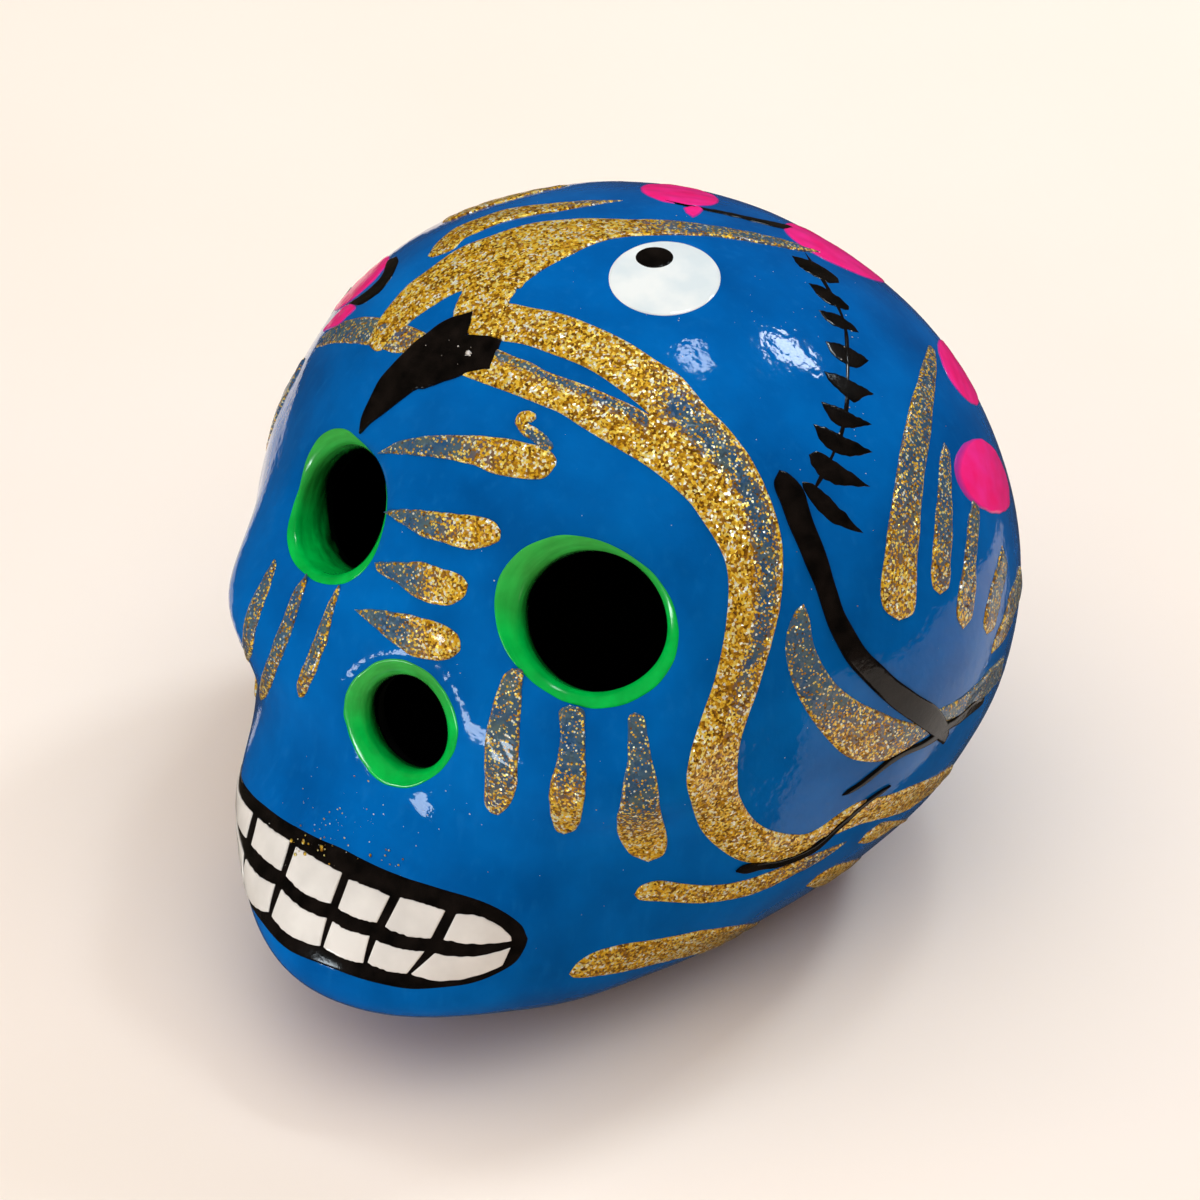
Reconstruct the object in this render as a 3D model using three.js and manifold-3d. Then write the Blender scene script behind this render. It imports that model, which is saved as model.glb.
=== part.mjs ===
// Painted clay skull, a hollow festive ornament about 11 cm long.
// Two press-moulded halves meet on a flat seam over the crown, with round sockets cut through the
// face half. The painted ornament is built as thin raised coats that follow the skin: green socket
// linings, a black mouth grid with white teeth, gold glitter strokes, black leaf work and pink dots.
// Millimetres, +Z up. The face looks along -Y and the skull's own left side is +X.
// The origin is on the flat base that the skull stands on.
import * as THREE from 'three';
import { mergeVertices } from 'three/addons/utils/BufferGeometryUtils.js';
import Module from 'manifold-3d';

const wasm = await Module();
wasm.setup();

// Cranium, an egg with its wide end at the back
const CRANIUM_HALF_WIDTH = 47.7;
const CRANIUM_HALF_LENGTH = 47.0;
const CRANIUM_HALF_HEIGHT = 46.0;
const CRANIUM_CENTRE_Y = 2.7;
const CRANIUM_CENTRE_Z = 40.5;
const CRANIUM_PITCH_DEG = -2.6;
const CRANIUM_WIDENING_SHARE = 0.076;
const WIDENING_LIMIT_SHARE = 1.2;

// Brow ridge over the sockets
const BROW_HALF_WIDTH = 27.0;
const BROW_HALF_DEPTH = 14.1;
const BROW_HALF_HEIGHT = 15.4;
const BROW_CENTRE_Y = -10.6;
const BROW_CENTRE_Z = 60.0;
const BROW_BLEND = 11.6;

// Jaw and muzzle
const JAW_HALF_WIDTH = 24.8;
const JAW_HALF_DEPTH = 36.0;
const JAW_HALF_HEIGHT = 14.2;
const JAW_CENTRE_Y = -25.5;
const JAW_CENTRE_Z = 17.0;
const JAW_BLEND = 20.5;

// Cheekbones, one on each side
const CHEEK_HALF_WIDTH = 13.6;
const CHEEK_HALF_DEPTH = 9.0;
const CHEEK_HALF_HEIGHT = 5.3;
const CHEEK_OFFSET_X = 17.8;
const CHEEK_CENTRE_Y = -32.7;
const CHEEK_CENTRE_Z = 44.9;
const CHEEK_BLEND = 12.0;

// Clay wall, and the point inside that the skin is measured from
const WALL = 4.5;
const HEART_Y = -4.0;
const HEART_Z = 31.0;

// Sockets: the painted edge on the skin, the clear hole and the place of each centre
const EYE_OFFSET_X = 18.2;
const EYE_HEIGHT = 62.4;
const EYE_EDGE_RADIUS = 10.0;
const EYE_HOLE_RADIUS = 7.9;
const NOSE_HEIGHT = 45.2;
const NOSE_EDGE_RADIUS = 8.0;
const NOSE_HOLE_RADIUS = 5.5;

// Paint: how thick a coat stands, its clearance to what it lies on and the lines between teeth
const COAT = 0.45;
const CLEARANCE = 0.3;
const TOOTH_LINE = 1.5;

// Half widths of the brush strokes
const BRIDGE_DROP_HALF_WIDTHS = [2.1, 2.0, 2.1, 2.6];
const CHEEK_DROP_HALF_WIDTH = 2.2;
const BACK_STROKE_HALF_WIDTHS = [2.2, 1.3, 1.2, 1.1];
const CROWN_STROKE_HALF_WIDTH = 1.2;
const STEM_HALF_WIDTH = 0.7;
const LEAF_HALF_WIDTH = 0.9;

// Ellipses: half sizes of the round painted marks
const EYEBALL_HALF_LENGTH = 7.0;
const EYEBALL_HALF_WIDTH = 5.8;
const PUPIL_HALF_LENGTH = 2.4;
const PUPIL_HALF_WIDTH = 1.6;
const DOT_HALF_LENGTH = 5.4;
const DOT_HALF_WIDTH = 4.4;

// Working lengths for the search along a ray, the slope of the skin and cuts that run past
const REACH_SHARE = 3;
const SLOPE_STEP = 0.01;
const OVERRUN = 5.0;

// How finely things are divided
const SKIN_AROUND = 56;
const SKIN_ALONG = 34;
const HOLLOW_AROUND = 24;
const HOLLOW_ALONG = 16;
const SOCKET_AROUND = 22;
const LIP_STEPS = 3;
const SEARCH_STEPS = 40;

const rad = THREE.MathUtils.degToRad;
const lerp = THREE.MathUtils.lerp;

// The form of the skin as a smooth union of ellipsoids

function ellipsoid(x, y, z, rx, ry, rz) {
  const near = Math.hypot(x / rx, y / ry, z / rz);
  const far = Math.hypot(x / rx / rx, y / ry / ry, z / rz / rz);
  return (near * (near - 1)) / far;
}

function blend(a, b, width) {
  const share = Math.max(width - Math.abs(a - b), 0) / width;
  return Math.min(a, b) - (share * share * width) / 4;
}

function cranium(p) {
  const c = Math.cos(rad(CRANIUM_PITCH_DEG));
  const s = Math.sin(rad(CRANIUM_PITCH_DEG));
  const dy = p.y - CRANIUM_CENTRE_Y;
  const dz = p.z - CRANIUM_CENTRE_Z;
  const y = c * dy + s * dz;
  const z = c * dz - s * dy;
  const along = THREE.MathUtils.clamp(y / CRANIUM_HALF_LENGTH, -WIDENING_LIMIT_SHARE, WIDENING_LIMIT_SHARE);
  const x = p.x / (1 + CRANIUM_WIDENING_SHARE * along);
  return ellipsoid(x, y, z, CRANIUM_HALF_WIDTH, CRANIUM_HALF_LENGTH, CRANIUM_HALF_HEIGHT);
}

// Distance-like measure of the whole skin: below zero inside, without the flat base
function skinField(p) {
  const brow = ellipsoid(
    p.x, p.y - BROW_CENTRE_Y, p.z - BROW_CENTRE_Z, BROW_HALF_WIDTH, BROW_HALF_DEPTH, BROW_HALF_HEIGHT,
  );
  const jaw = ellipsoid(
    p.x, p.y - JAW_CENTRE_Y, p.z - JAW_CENTRE_Z, JAW_HALF_WIDTH, JAW_HALF_DEPTH, JAW_HALF_HEIGHT,
  );
  const cheek = ellipsoid(
    Math.abs(p.x) - CHEEK_OFFSET_X, p.y - CHEEK_CENTRE_Y, p.z - CHEEK_CENTRE_Z,
    CHEEK_HALF_WIDTH, CHEEK_HALF_DEPTH, CHEEK_HALF_HEIGHT,
  );
  const head = blend(cranium(p), brow, BROW_BLEND);
  return blend(blend(head, jaw, JAW_BLEND), cheek, CHEEK_BLEND);
}

// The hollow: a wall inside the skin, and a wall above the base
function hollowField(p) {
  return Math.max(skinField(p) + WALL, WALL - p.z);
}

const heart = new THREE.Vector3(0, HEART_Y, HEART_Z);

// First point on the ray from start where the field turns positive
function surfacePoint(field, start, direction) {
  let near = 0;
  let far = REACH_SHARE * CRANIUM_HALF_LENGTH;
  const point = new THREE.Vector3();
  for (let step = 0; step < SEARCH_STEPS; step += 1) {
    const middle = (near + far) / 2;
    point.copy(start).addScaledVector(direction, middle);
    if (field(point) < 0) near = middle;
    else far = middle;
  }
  return point;
}

function skinNormal(p) {
  const slope = (axis) => {
    const ahead = p.clone();
    const behind = p.clone();
    ahead[axis] += SLOPE_STEP;
    behind[axis] -= SLOPE_STEP;
    return skinField(ahead) - skinField(behind);
  };
  return new THREE.Vector3(slope('x'), slope('y'), slope('z')).normalize();
}

// A point at a height over the skin, in a direction from the heart
function overSkin(direction, height) {
  const point = surfacePoint(skinField, heart, direction);
  return point.addScaledVector(skinNormal(point), height);
}

// Directions. The chart is a flat map in degrees, centred on the view of the skull's front left,
// with its first number to the skull's left and its second towards the crown. The face map is
// degrees of turn to the skull's left from the front, and degrees of rise.

const CHART_TURN_DEG = 33;
const CHART_RISE_DEG = 38;

function onFace(turnDeg, riseDeg) {
  const turn = rad(turnDeg);
  const rise = rad(riseDeg);
  return new THREE.Vector3(
    Math.sin(turn) * Math.cos(rise), -Math.cos(turn) * Math.cos(rise), Math.sin(rise),
  );
}

const chartMiddle = onFace(CHART_TURN_DEG, CHART_RISE_DEG);
const chartLeft = onFace(CHART_TURN_DEG + 90, 0);
const chartUp = new THREE.Vector3().crossVectors(chartMiddle, chartLeft);

function onChart(leftDeg, upDeg) {
  const angleDeg = Math.hypot(leftDeg, upDeg);
  const away = angleDeg > 0 ? Math.sin(rad(angleDeg)) / angleDeg : 0;
  return chartMiddle.clone().multiplyScalar(Math.cos(rad(angleDeg)))
    .addScaledVector(chartLeft, leftDeg * away)
    .addScaledVector(chartUp, upDeg * away);
}

// The chart degrees of a direction
function chartOf(direction) {
  const towards = direction.clone().normalize();
  const angle = Math.acos(THREE.MathUtils.clamp(towards.dot(chartMiddle), -1, 1));
  const stretch = angle > 0 ? THREE.MathUtils.radToDeg(angle) / Math.sin(angle) : 0;
  return [towards.dot(chartLeft) * stretch, towards.dot(chartUp) * stretch];
}

// Degrees that a length on the skin spans, seen from the heart
function degreesOf(length, direction) {
  const radius = surfacePoint(skinField, heart, direction).distanceTo(heart);
  return THREE.MathUtils.radToDeg(length / radius);
}

// Solids

// Turns a geometry into a solid with shared corners, without faces that have shrunk to a line
function tidyGeometry(positions, triangles) {
  const raw = new THREE.BufferGeometry();
  raw.setAttribute('position', new THREE.Float32BufferAttribute(positions, 3));
  raw.setIndex(triangles);
  const merged = mergeVertices(raw);
  const index = merged.getIndex().array;
  const kept = [];
  for (let i = 0; i < index.length; i += 3) {
    const [a, b, c] = [index[i], index[i + 1], index[i + 2]];
    if (a !== b && b !== c && c !== a) kept.push(a, b, c);
  }
  merged.setIndex(kept);
  return merged;
}

function toSolid(geometry) {
  const bare = geometry.clone();
  bare.deleteAttribute('normal');
  bare.deleteAttribute('uv');
  const merged = mergeVertices(bare);
  const vertProperties = Float32Array.from(merged.getAttribute('position').array);
  const triVerts = Uint32Array.from(merged.getIndex().array);
  return new wasm.Manifold(new wasm.Mesh({ numProp: 3, vertProperties, triVerts }));
}

function toGeometry(solid) {
  const mesh = solid.getMesh();
  const geometry = new THREE.BufferGeometry();
  geometry.setAttribute('position', new THREE.Float32BufferAttribute(mesh.vertProperties, 3));
  geometry.setIndex(Array.from(mesh.triVerts));
  return geometry;
}

// A closed body whose corners lie where rays from the heart meet a field
function fieldSolid(field, around, along) {
  const ball = new THREE.SphereGeometry(1, around, along);
  ball.deleteAttribute('normal');
  ball.deleteAttribute('uv');
  const merged = mergeVertices(ball);
  const place = merged.getAttribute('position');
  const direction = new THREE.Vector3();
  for (let i = 0; i < place.count; i += 1) {
    direction.fromBufferAttribute(place, i).normalize();
    const point = surfacePoint(field, heart, direction);
    place.setXYZ(i, point.x, point.y, point.z);
  }
  return toSolid(tidyGeometry(Array.from(place.array), Array.from(merged.getIndex().array)));
}

// A patch is a place on the skin: a direction for each u and v from 0 to 1, and how finely it is divided

// Paint on a patch, with a lower and an upper face and closed at its edges
function coat({ at, columns, rows }, low = CLEARANCE, high = CLEARANCE + COAT) {
  const positions = [];
  for (const height of [low, high]) {
    for (let i = 0; i <= columns; i += 1) {
      for (let j = 0; j <= rows; j += 1) {
        const point = overSkin(at(i / columns, j / rows), height);
        positions.push(point.x, point.y, point.z);
      }
    }
  }
  const corner = (layer, i, j) => (layer * (columns + 1) + i) * (rows + 1) + j;
  const triangles = [];
  const quad = (a, b, c, d) => triangles.push(a, b, c, a, c, d);
  for (let i = 0; i < columns; i += 1) {
    for (let j = 0; j < rows; j += 1) {
      quad(corner(1, i, j), corner(1, i + 1, j), corner(1, i + 1, j + 1), corner(1, i, j + 1));
      quad(corner(0, i, j), corner(0, i, j + 1), corner(0, i + 1, j + 1), corner(0, i + 1, j));
    }
  }
  for (let i = 0; i < columns; i += 1) {
    quad(corner(0, i, 0), corner(0, i + 1, 0), corner(1, i + 1, 0), corner(1, i, 0));
    quad(corner(0, i + 1, rows), corner(0, i, rows), corner(1, i, rows), corner(1, i + 1, rows));
  }
  for (let j = 0; j < rows; j += 1) {
    quad(corner(0, 0, j + 1), corner(0, 0, j), corner(1, 0, j), corner(1, 0, j + 1));
    quad(
      corner(0, columns, j), corner(0, columns, j + 1), corner(1, columns, j + 1), corner(1, columns, j),
    );
  }
  return outwards(tidyGeometry(positions, triangles));
}

// The same coat as a cutter that runs past both faces of the paint
function coatCut(patch) {
  return toSolid(coat(patch, CLEARANCE - COAT, CLEARANCE + COAT + COAT));
}

// Turns the faces out: six times the volume that they enclose is negative where they point in
function outwards(geometry) {
  const corners = geometry.getAttribute('position');
  const index = Array.from(geometry.getIndex().array);
  const [a, b, c] = [new THREE.Vector3(), new THREE.Vector3(), new THREE.Vector3()];
  let volume = 0;
  for (let i = 0; i < index.length; i += 3) {
    a.fromBufferAttribute(corners, index[i]);
    b.fromBufferAttribute(corners, index[i + 1]);
    c.fromBufferAttribute(corners, index[i + 2]);
    volume += a.dot(b.cross(c));
  }
  if (volume < 0) {
    for (let i = 0; i < index.length; i += 3) {
      [index[i + 1], index[i + 2]] = [index[i + 2], index[i + 1]];
    }
    geometry.setIndex(index);
  }
  return geometry;
}

// The same patch on the skull's other side
function otherSide(patch) {
  const at = (u, v) => {
    const direction = patch.at(u, v);
    direction.x = -direction.x;
    return direction;
  };
  return { ...patch, at };
}

function curveThrough(pointsDeg) {
  const points = pointsDeg.map(([left, up]) => new THREE.Vector3(left, up, 0));
  return new THREE.CatmullRomCurve3(points, false, 'centripetal');
}

// Paint between two edges that meet at both ends, given in chart degrees
function band(firstEdgeDeg, secondEdgeDeg, columns, rows = 2) {
  const first = curveThrough(firstEdgeDeg);
  const second = curveThrough(secondEdgeDeg);
  const at = (u, v) => {
    const spot = first.getPointAt(u).lerp(second.getPointAt(u), v);
    return onPainting(spot.x, spot.y);
  };
  return { at, columns, rows };
}

// Half width along a drop, as a share: a fine tail that swells to a round end
const DROP_TAIL_SHARE = 0.25;
function dropShare(u, roundShare) {
  const bodyShare = 1 - roundShare;
  if (u <= 0) return 0;
  if (u > bodyShare) return Math.sqrt(Math.max(0, 1 - ((u - bodyShare) / roundShare) ** 2));
  return lerp(DROP_TAIL_SHARE, 1, Math.sin((u / bodyShare) * (Math.PI / 2)));
}

function leafShare(u) {
  return Math.sin(Math.PI * u);
}

// A stroke along chart points, with a half width that follows a share. The width function is given
// how far along it is and the share of the length that a half width takes
function stroke(pointsDeg, halfWidth, widthShare, columns, rows = 2) {
  const middle = curveThrough(pointsDeg);
  const end = middle.getPoint(1);
  const roundShare = degreesOf(halfWidth, onChart(end.x, end.y)) / middle.getLength();
  const at = (u, v) => {
    const spot = middle.getPointAt(u);
    const ahead = middle.getTangentAt(u);
    const side = degreesOf(halfWidth, onChart(spot.x, spot.y)) * widthShare(u, roundShare) * (2 * v - 1);
    return onPainting(spot.x - ahead.y * side, spot.y + ahead.x * side);
  };
  return { at, columns, rows };
}

// A drop, with its columns closer together towards the round end
function drop(pointsDeg, halfWidth, columns = 8) {
  const patch = stroke(pointsDeg, halfWidth, dropShare, columns);
  return { ...patch, at: (u, v) => patch.at(1 - (1 - u) ** 2, v) };
}

// A round mark: the ellipse's two arcs are the edges of a grid
function roundMark(centreDeg, halfLength, halfWidth, turnDeg) {
  const [left, up] = centreDeg;
  const longDeg = degreesOf(halfLength, onChart(left, up));
  const wideDeg = degreesOf(halfWidth, onChart(left, up));
  const c = Math.cos(rad(turnDeg));
  const s = Math.sin(rad(turnDeg));
  const at = (u, v) => {
    const x = -Math.cos(Math.PI * u) * longDeg;
    const y = Math.sin(Math.PI * u) * wideDeg * (2 * v - 1);
    return onPainting(left + c * x - s * y, up + s * x + c * y);
  };
  return { at, columns: 10, rows: 2 };
}

// Shells

// Where a socket sits: a point on the skin straight ahead of a place on the face, and the skin's way out
function socketSeat(offsetX, height) {
  const start = new THREE.Vector3(offsetX, HEART_Y, height);
  const centre = surfacePoint(skinField, start, new THREE.Vector3(0, -1, 0));
  return { centre, normal: skinNormal(centre) };
}

// Mean height of the skin over the seat plane at the socket's painted edge
function edgeHeight(seat, edgeRadius) {
  const turn = new THREE.Quaternion().setFromUnitVectors(new THREE.Vector3(0, 1, 0), seat.normal);
  let sum = 0;
  for (let k = 0; k < SOCKET_AROUND; k += 1) {
    const angle = (2 * Math.PI * k) / SOCKET_AROUND;
    const start = new THREE.Vector3(Math.cos(angle) * edgeRadius, 0, Math.sin(angle) * edgeRadius);
    start.applyQuaternion(turn).add(seat.centre);
    const inside = start.clone().addScaledVector(seat.normal, -edgeRadius);
    sum += surfacePoint(skinField, inside, seat.normal).distanceTo(inside) - edgeRadius;
  }
  return sum / SOCKET_AROUND;
}

// Outline of the rounded lip at a distance off the clay, from down the hole to near the edge
function lipOutline(edgeRadius, clayRadius, top, off, openDeg) {
  const round = edgeRadius - clayRadius;
  const points = [];
  for (let k = 0; k <= LIP_STEPS; k += 1) {
    const angle = rad(lerp(180, 90 + openDeg, k / LIP_STEPS));
    points.push(new THREE.Vector2(
      edgeRadius + Math.cos(angle) * (round + off), top - round + Math.sin(angle) * (round + off),
    ));
  }
  return points;
}

function lathe(outline, seat) {
  const turn = new THREE.Quaternion().setFromUnitVectors(new THREE.Vector3(0, 1, 0), seat.normal);
  const geometry = new THREE.LatheGeometry(outline, SOCKET_AROUND);
  geometry.applyQuaternion(turn).translate(seat.centre.x, seat.centre.y, seat.centre.z);
  geometry.deleteAttribute('normal');
  geometry.deleteAttribute('uv');
  const merged = mergeVertices(geometry);
  const positions = Array.from(merged.getAttribute('position').array);
  return outwards(tidyGeometry(positions, Array.from(merged.getIndex().array)));
}

// The clay's hole is wider than the clear one by the lining and its clearance
const clayRadiusOf = (holeRadius) => holeRadius + COAT + CLEARANCE;

// What is cut from the shell for a socket: the hole down through the wall, and the rounded lip
function socketCut(seat, edgeRadius, holeRadius) {
  const deep = -(WALL + WALL + OVERRUN);
  return toSolid(lathe([
    new THREE.Vector2(0, deep),
    new THREE.Vector2(clayRadiusOf(holeRadius), deep),
    ...lipOutline(edgeRadius, clayRadiusOf(holeRadius), edgeHeight(seat, edgeRadius), 0, 0),
    new THREE.Vector2(edgeRadius, OVERRUN),
    new THREE.Vector2(0, OVERRUN),
  ], seat));
}

// Green lining painted over the lip and down the hole, ending short of the lip's edge
const LINING_OPEN_DEG = 14;
function socketLining(seat, edgeRadius, holeRadius) {
  const top = edgeHeight(seat, edgeRadius);
  const clayRadius = clayRadiusOf(holeRadius);
  const deep = top - WALL;
  const under = lipOutline(edgeRadius, clayRadius, top, CLEARANCE, LINING_OPEN_DEG);
  const over = lipOutline(edgeRadius, clayRadius, top, CLEARANCE + COAT, LINING_OPEN_DEG);
  return lathe([
    new THREE.Vector2(holeRadius, deep),
    new THREE.Vector2(holeRadius + COAT, deep),
    ...under,
    ...over.reverse(),
    new THREE.Vector2(holeRadius, deep),
  ], seat);
}

const sockets = {
  left_eye_lining: [socketSeat(EYE_OFFSET_X, EYE_HEIGHT), EYE_EDGE_RADIUS, EYE_HOLE_RADIUS],
  right_eye_lining: [socketSeat(-EYE_OFFSET_X, EYE_HEIGHT), EYE_EDGE_RADIUS, EYE_HOLE_RADIUS],
  nose_lining: [socketSeat(0, NOSE_HEIGHT), NOSE_EDGE_RADIUS, NOSE_HOLE_RADIUS],
};

// The painting was laid out in chart degrees with the left eye, the right eye and the nose at these
// places. Paint near a socket goes with it when the socket is moved, and paint further off stays
const SOCKET_PLACES_DEG = [[-1.31, 3.84], [-43.41, 21.09], [-31.29, -13.85]];
const FOLLOW_REACH_DEG = 30;
const CLOSE_DEG = 1;
const socketShifts = Object.values(sockets).map(([seat], k) => {
  const [left, up] = chartOf(seat.centre.clone().sub(heart));
  const [fromLeft, fromUp] = SOCKET_PLACES_DEG[k];
  return { fromLeft, fromUp, moveLeft: left - fromLeft, moveUp: up - fromUp };
});

function onPainting(leftDeg, upDeg) {
  let [weights, moveLeft, moveUp] = [1 / FOLLOW_REACH_DEG ** 2, 0, 0];
  for (const socket of socketShifts) {
    const awayDeg = Math.hypot(leftDeg - socket.fromLeft, upDeg - socket.fromUp);
    const weight = 1 / Math.max(awayDeg, CLOSE_DEG) ** 2;
    weights += weight;
    moveLeft += weight * socket.moveLeft;
    moveUp += weight * socket.moveUp;
  }
  return onChart(leftDeg + moveLeft / weights, upDeg + moveUp / weights);
}

// Room for each socket's lining, which no stroke runs into
const socketRooms = Object.values(sockets).map(([seat, edgeRadius]) => toSolid(lathe([
  new THREE.Vector2(0, -OVERRUN),
  new THREE.Vector2(edgeRadius, -OVERRUN),
  new THREE.Vector2(edgeRadius, OVERRUN),
  new THREE.Vector2(0, OVERRUN),
], seat)));

function clearOfSockets(geometry) {
  return toGeometry(socketRooms.reduce((solid, room) => solid.subtract(room), toSolid(geometry)));
}

// A block from one Y to another that takes in everything above the base plane
function blockBetween(fromY, toY) {
  const side = REACH_SHARE * CRANIUM_HALF_LENGTH;
  const box = new THREE.BoxGeometry(side, toY - fromY, side);
  box.translate(0, (fromY + toY) / 2, side / 2);
  return toSolid(box);
}

function shells() {
  const outer = fieldSolid(skinField, SKIN_AROUND, SKIN_ALONG);
  const hollow = fieldSolid(hollowField, HOLLOW_AROUND, HOLLOW_ALONG);
  let clay = outer.subtract(hollow);
  for (const seat of Object.values(sockets)) clay = clay.subtract(socketCut(...seat));
  const seamY = CRANIUM_CENTRE_Y;
  const side = REACH_SHARE * CRANIUM_HALF_LENGTH;
  return {
    face_half: toGeometry(clay.intersect(blockBetween(seamY - side, seamY))),
    back_half: toGeometry(clay.intersect(blockBetween(seamY, seamY + side))),
  };
}

// Mouth: its heights in degrees of rise, at degrees of turn away from its middle
const MOUTH_MIDDLE_DEG = -3.3;
const MOUTH_HALF_DEG = 28.8;
const MOUTH_TOP_DEG = [[0, -2.0], [13, -2.1], [20, -3.3], [25, -5.4], [27.7, -7.4], [28.8, -9.7]];
const MOUTH_BOTTOM_DEG = [
  [0, -11.2], [11, -11.9], [16.4, -12.8], [21, -13.7], [25, -13.4], [27.4, -12], [28.8, -9.7],
];
const TEETH_TOP_DEG = [[0, -3.7], [10, -4.2], [18.4, -5.3], [23, -6.5], [26.2, -8.6]];
const TEETH_MIDDLE_DEG = [[0, -7.1], [9, -7.4], [17.3, -8.3], [26.2, -9.3]];
const TEETH_BOTTOM_DEG = [[0, -9.7], [8.4, -10], [14, -10.9], [19, -11.8], [23.7, -11.8], [26.2, -10.6]];
const TOOTH_EDGES_DEG = [-26.2, -17.6, -9.3, 0, 9.3, 17.6, 26.2];

function riseAt(tableDeg, turnDeg) {
  const turn = Math.abs(turnDeg);
  let k = 1;
  while (k < tableDeg.length - 1 && tableDeg[k][0] < turn) k += 1;
  const [fromTurn, fromRise] = tableDeg[k - 1];
  const [toTurn, toRise] = tableDeg[k];
  return lerp(fromRise, toRise, Math.min(1, (turn - fromTurn) / (toTurn - fromTurn)));
}

const mouthDirection = (turnDeg, riseDeg) => onFace(MOUTH_MIDDLE_DEG + turnDeg, riseDeg);

// One tooth between two vertical lines in a row, as wide as its place plus a margin on each side
function tooth(row, k, margin) {
  const upper = row === 'upper' ? TEETH_TOP_DEG : TEETH_MIDDLE_DEG;
  const lower = row === 'upper' ? TEETH_MIDDLE_DEG : TEETH_BOTTOM_DEG;
  const middle = mouthDirection(0, TEETH_MIDDLE_DEG[0][1]);
  const outDeg = degreesOf(margin, middle);
  const lineDeg = degreesOf(TOOTH_LINE / 2, middle);
  const [from, to] = [TOOTH_EDGES_DEG[k], TOOTH_EDGES_DEG[k + 1]];
  const left = from + (k > 0 ? lineDeg : 0) - outDeg;
  const right = to - (k < TOOTH_EDGES_DEG.length - 2 ? lineDeg : 0) + outDeg;
  const at = (u, v) => {
    const turnDeg = lerp(left, right, u);
    const top = riseAt(upper, turnDeg) - (row === 'upper' ? 0 : lineDeg) + outDeg;
    const bottom = riseAt(lower, turnDeg) + (row === 'upper' ? lineDeg : 0) - outDeg;
    return mouthDirection(turnDeg, lerp(top, bottom, v));
  };
  return { at, columns: 3, rows: 1 };
}

function mouthPatch() {
  const at = (u, v) => {
    const turnDeg = lerp(-MOUTH_HALF_DEG, MOUTH_HALF_DEG, u);
    const top = riseAt(MOUTH_TOP_DEG, turnDeg);
    return mouthDirection(turnDeg, lerp(top, riseAt(MOUTH_BOTTOM_DEG, turnDeg), v));
  };
  return { at, columns: 15, rows: 3 };
}

// The black lines: the whole mouth less a window round each tooth
function mouthLines() {
  let lines = toSolid(coat(mouthPatch()));
  for (const row of ['upper', 'lower']) {
    for (let k = 0; k < TOOTH_EDGES_DEG.length - 1; k += 1) {
      lines = lines.subtract(coatCut(tooth(row, k, CLEARANCE)));
    }
  }
  return toGeometry(lines);
}

// Gold strokes, in chart degrees
const BRIDGE_DROPS_DEG = [
  [[-33.3, 29.2], [-8.9, 24.8]],
  [[-32.1, 18.7], [-15.8, 15.9]],
  [[-33.2, 11.4], [-20.9, 8.3]],
  [[-38.8, 4.2], [-23.2, 0.7]],
];
const CHEEK_DROPS_DEG = [
  [[-12, -5], [-14.6, -28]],
  [[-2.5, -10.5], [-4.2, -31]],
  [[6.8, -10.5], [10.8, -35]],
];
const BACK_STROKES_DEG = [
  [[52, 50], [44.8, 7.5]],
  [[51.7, 32], [52.4, 10]],
  [[58.1, 26], [59.5, 5.5]],
  [[68, 24], [66.4, 5.5]],
];
const SWIRL_OUTER_DEG = [
  [-21, 41], [-14, 47.6], [1.5, 42.4], [12.9, 32.7], [21.1, 23], [25.7, 11.9], [24.7, -4.5], [22.7, -18],
  [27.1, -26.8], [34.9, -31.9], [43, -32.3], [55.4, -26], [70, -26],
];
const SWIRL_INNER_DEG = [
  [-21, 41], [-17, 36.8], [-5.7, 31], [9.5, 22.7], [17.1, 12.1], [18.4, 4], [16.5, -6], [14.7, -16],
  [18.1, -27.4], [27.2, -37.1], [38, -39.4], [55.7, -32], [70, -26],
];
const SWIRL_GAP_UPPER_DEG = [[-25, 45.4], [-14.8, 42.3], [-3.3, 37.4], [6.5, 31.1]];
const SWIRL_GAP_LOWER_DEG = [[-25, 42.4], [-14.6, 40.5], [-3.2, 35.7], [6.5, 31.1]];
const ARC_UPPER_DEG = [
  [-36.4, 46.4], [-36.4, 49], [-32.8, 56.4], [-26.9, 61.1], [-9.5, 64.9], [8, 65], [30, 64.5],
];
const ARC_LOWER_DEG = [
  [-36.4, 46.4], [-33.8, 46.2], [-29.3, 48.8], [-20, 52.4], [-9, 54.4], [4, 60.6], [30, 64.5],
];
const CROWN_STROKES_DEG = [[[-29.9, 65.5], [-12, 70.5], [4, 71]], [[-28, 76], [-12, 77], [2, 80]]];
const CRESCENT_OUTER_DEG = [
  [29.7, 7.6], [27.8, 3], [28.8, -2], [32, -7], [38, -13], [46, -16.9], [55, -15],
];
const CRESCENT_INNER_DEG = [
  [29.7, 7.6], [31.6, 4], [34, -1], [38.5, -5], [44, -8.2], [49, -11], [55, -15],
];
const UPPER_JAW_TOP_DEG = [[9.2, -43.1], [12.2, -40.9], [23.2, -43.1], [34.9, -42.6], [46, -41.6]];
const UPPER_JAW_BOTTOM_DEG = [[9.2, -43.1], [15.2, -46.4], [25.4, -48.2], [36.3, -46.7], [46, -41.6]];
const LOWER_JAW_TOP_DEG = [[-1.9, -54.9], [7.8, -52.7], [23.2, -56.1], [41.2, -62.2]];
const LOWER_JAW_BOTTOM_DEG = [[-1.9, -54.9], [8.5, -61.5], [21.2, -64.7], [41.2, -62.2]];

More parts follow.
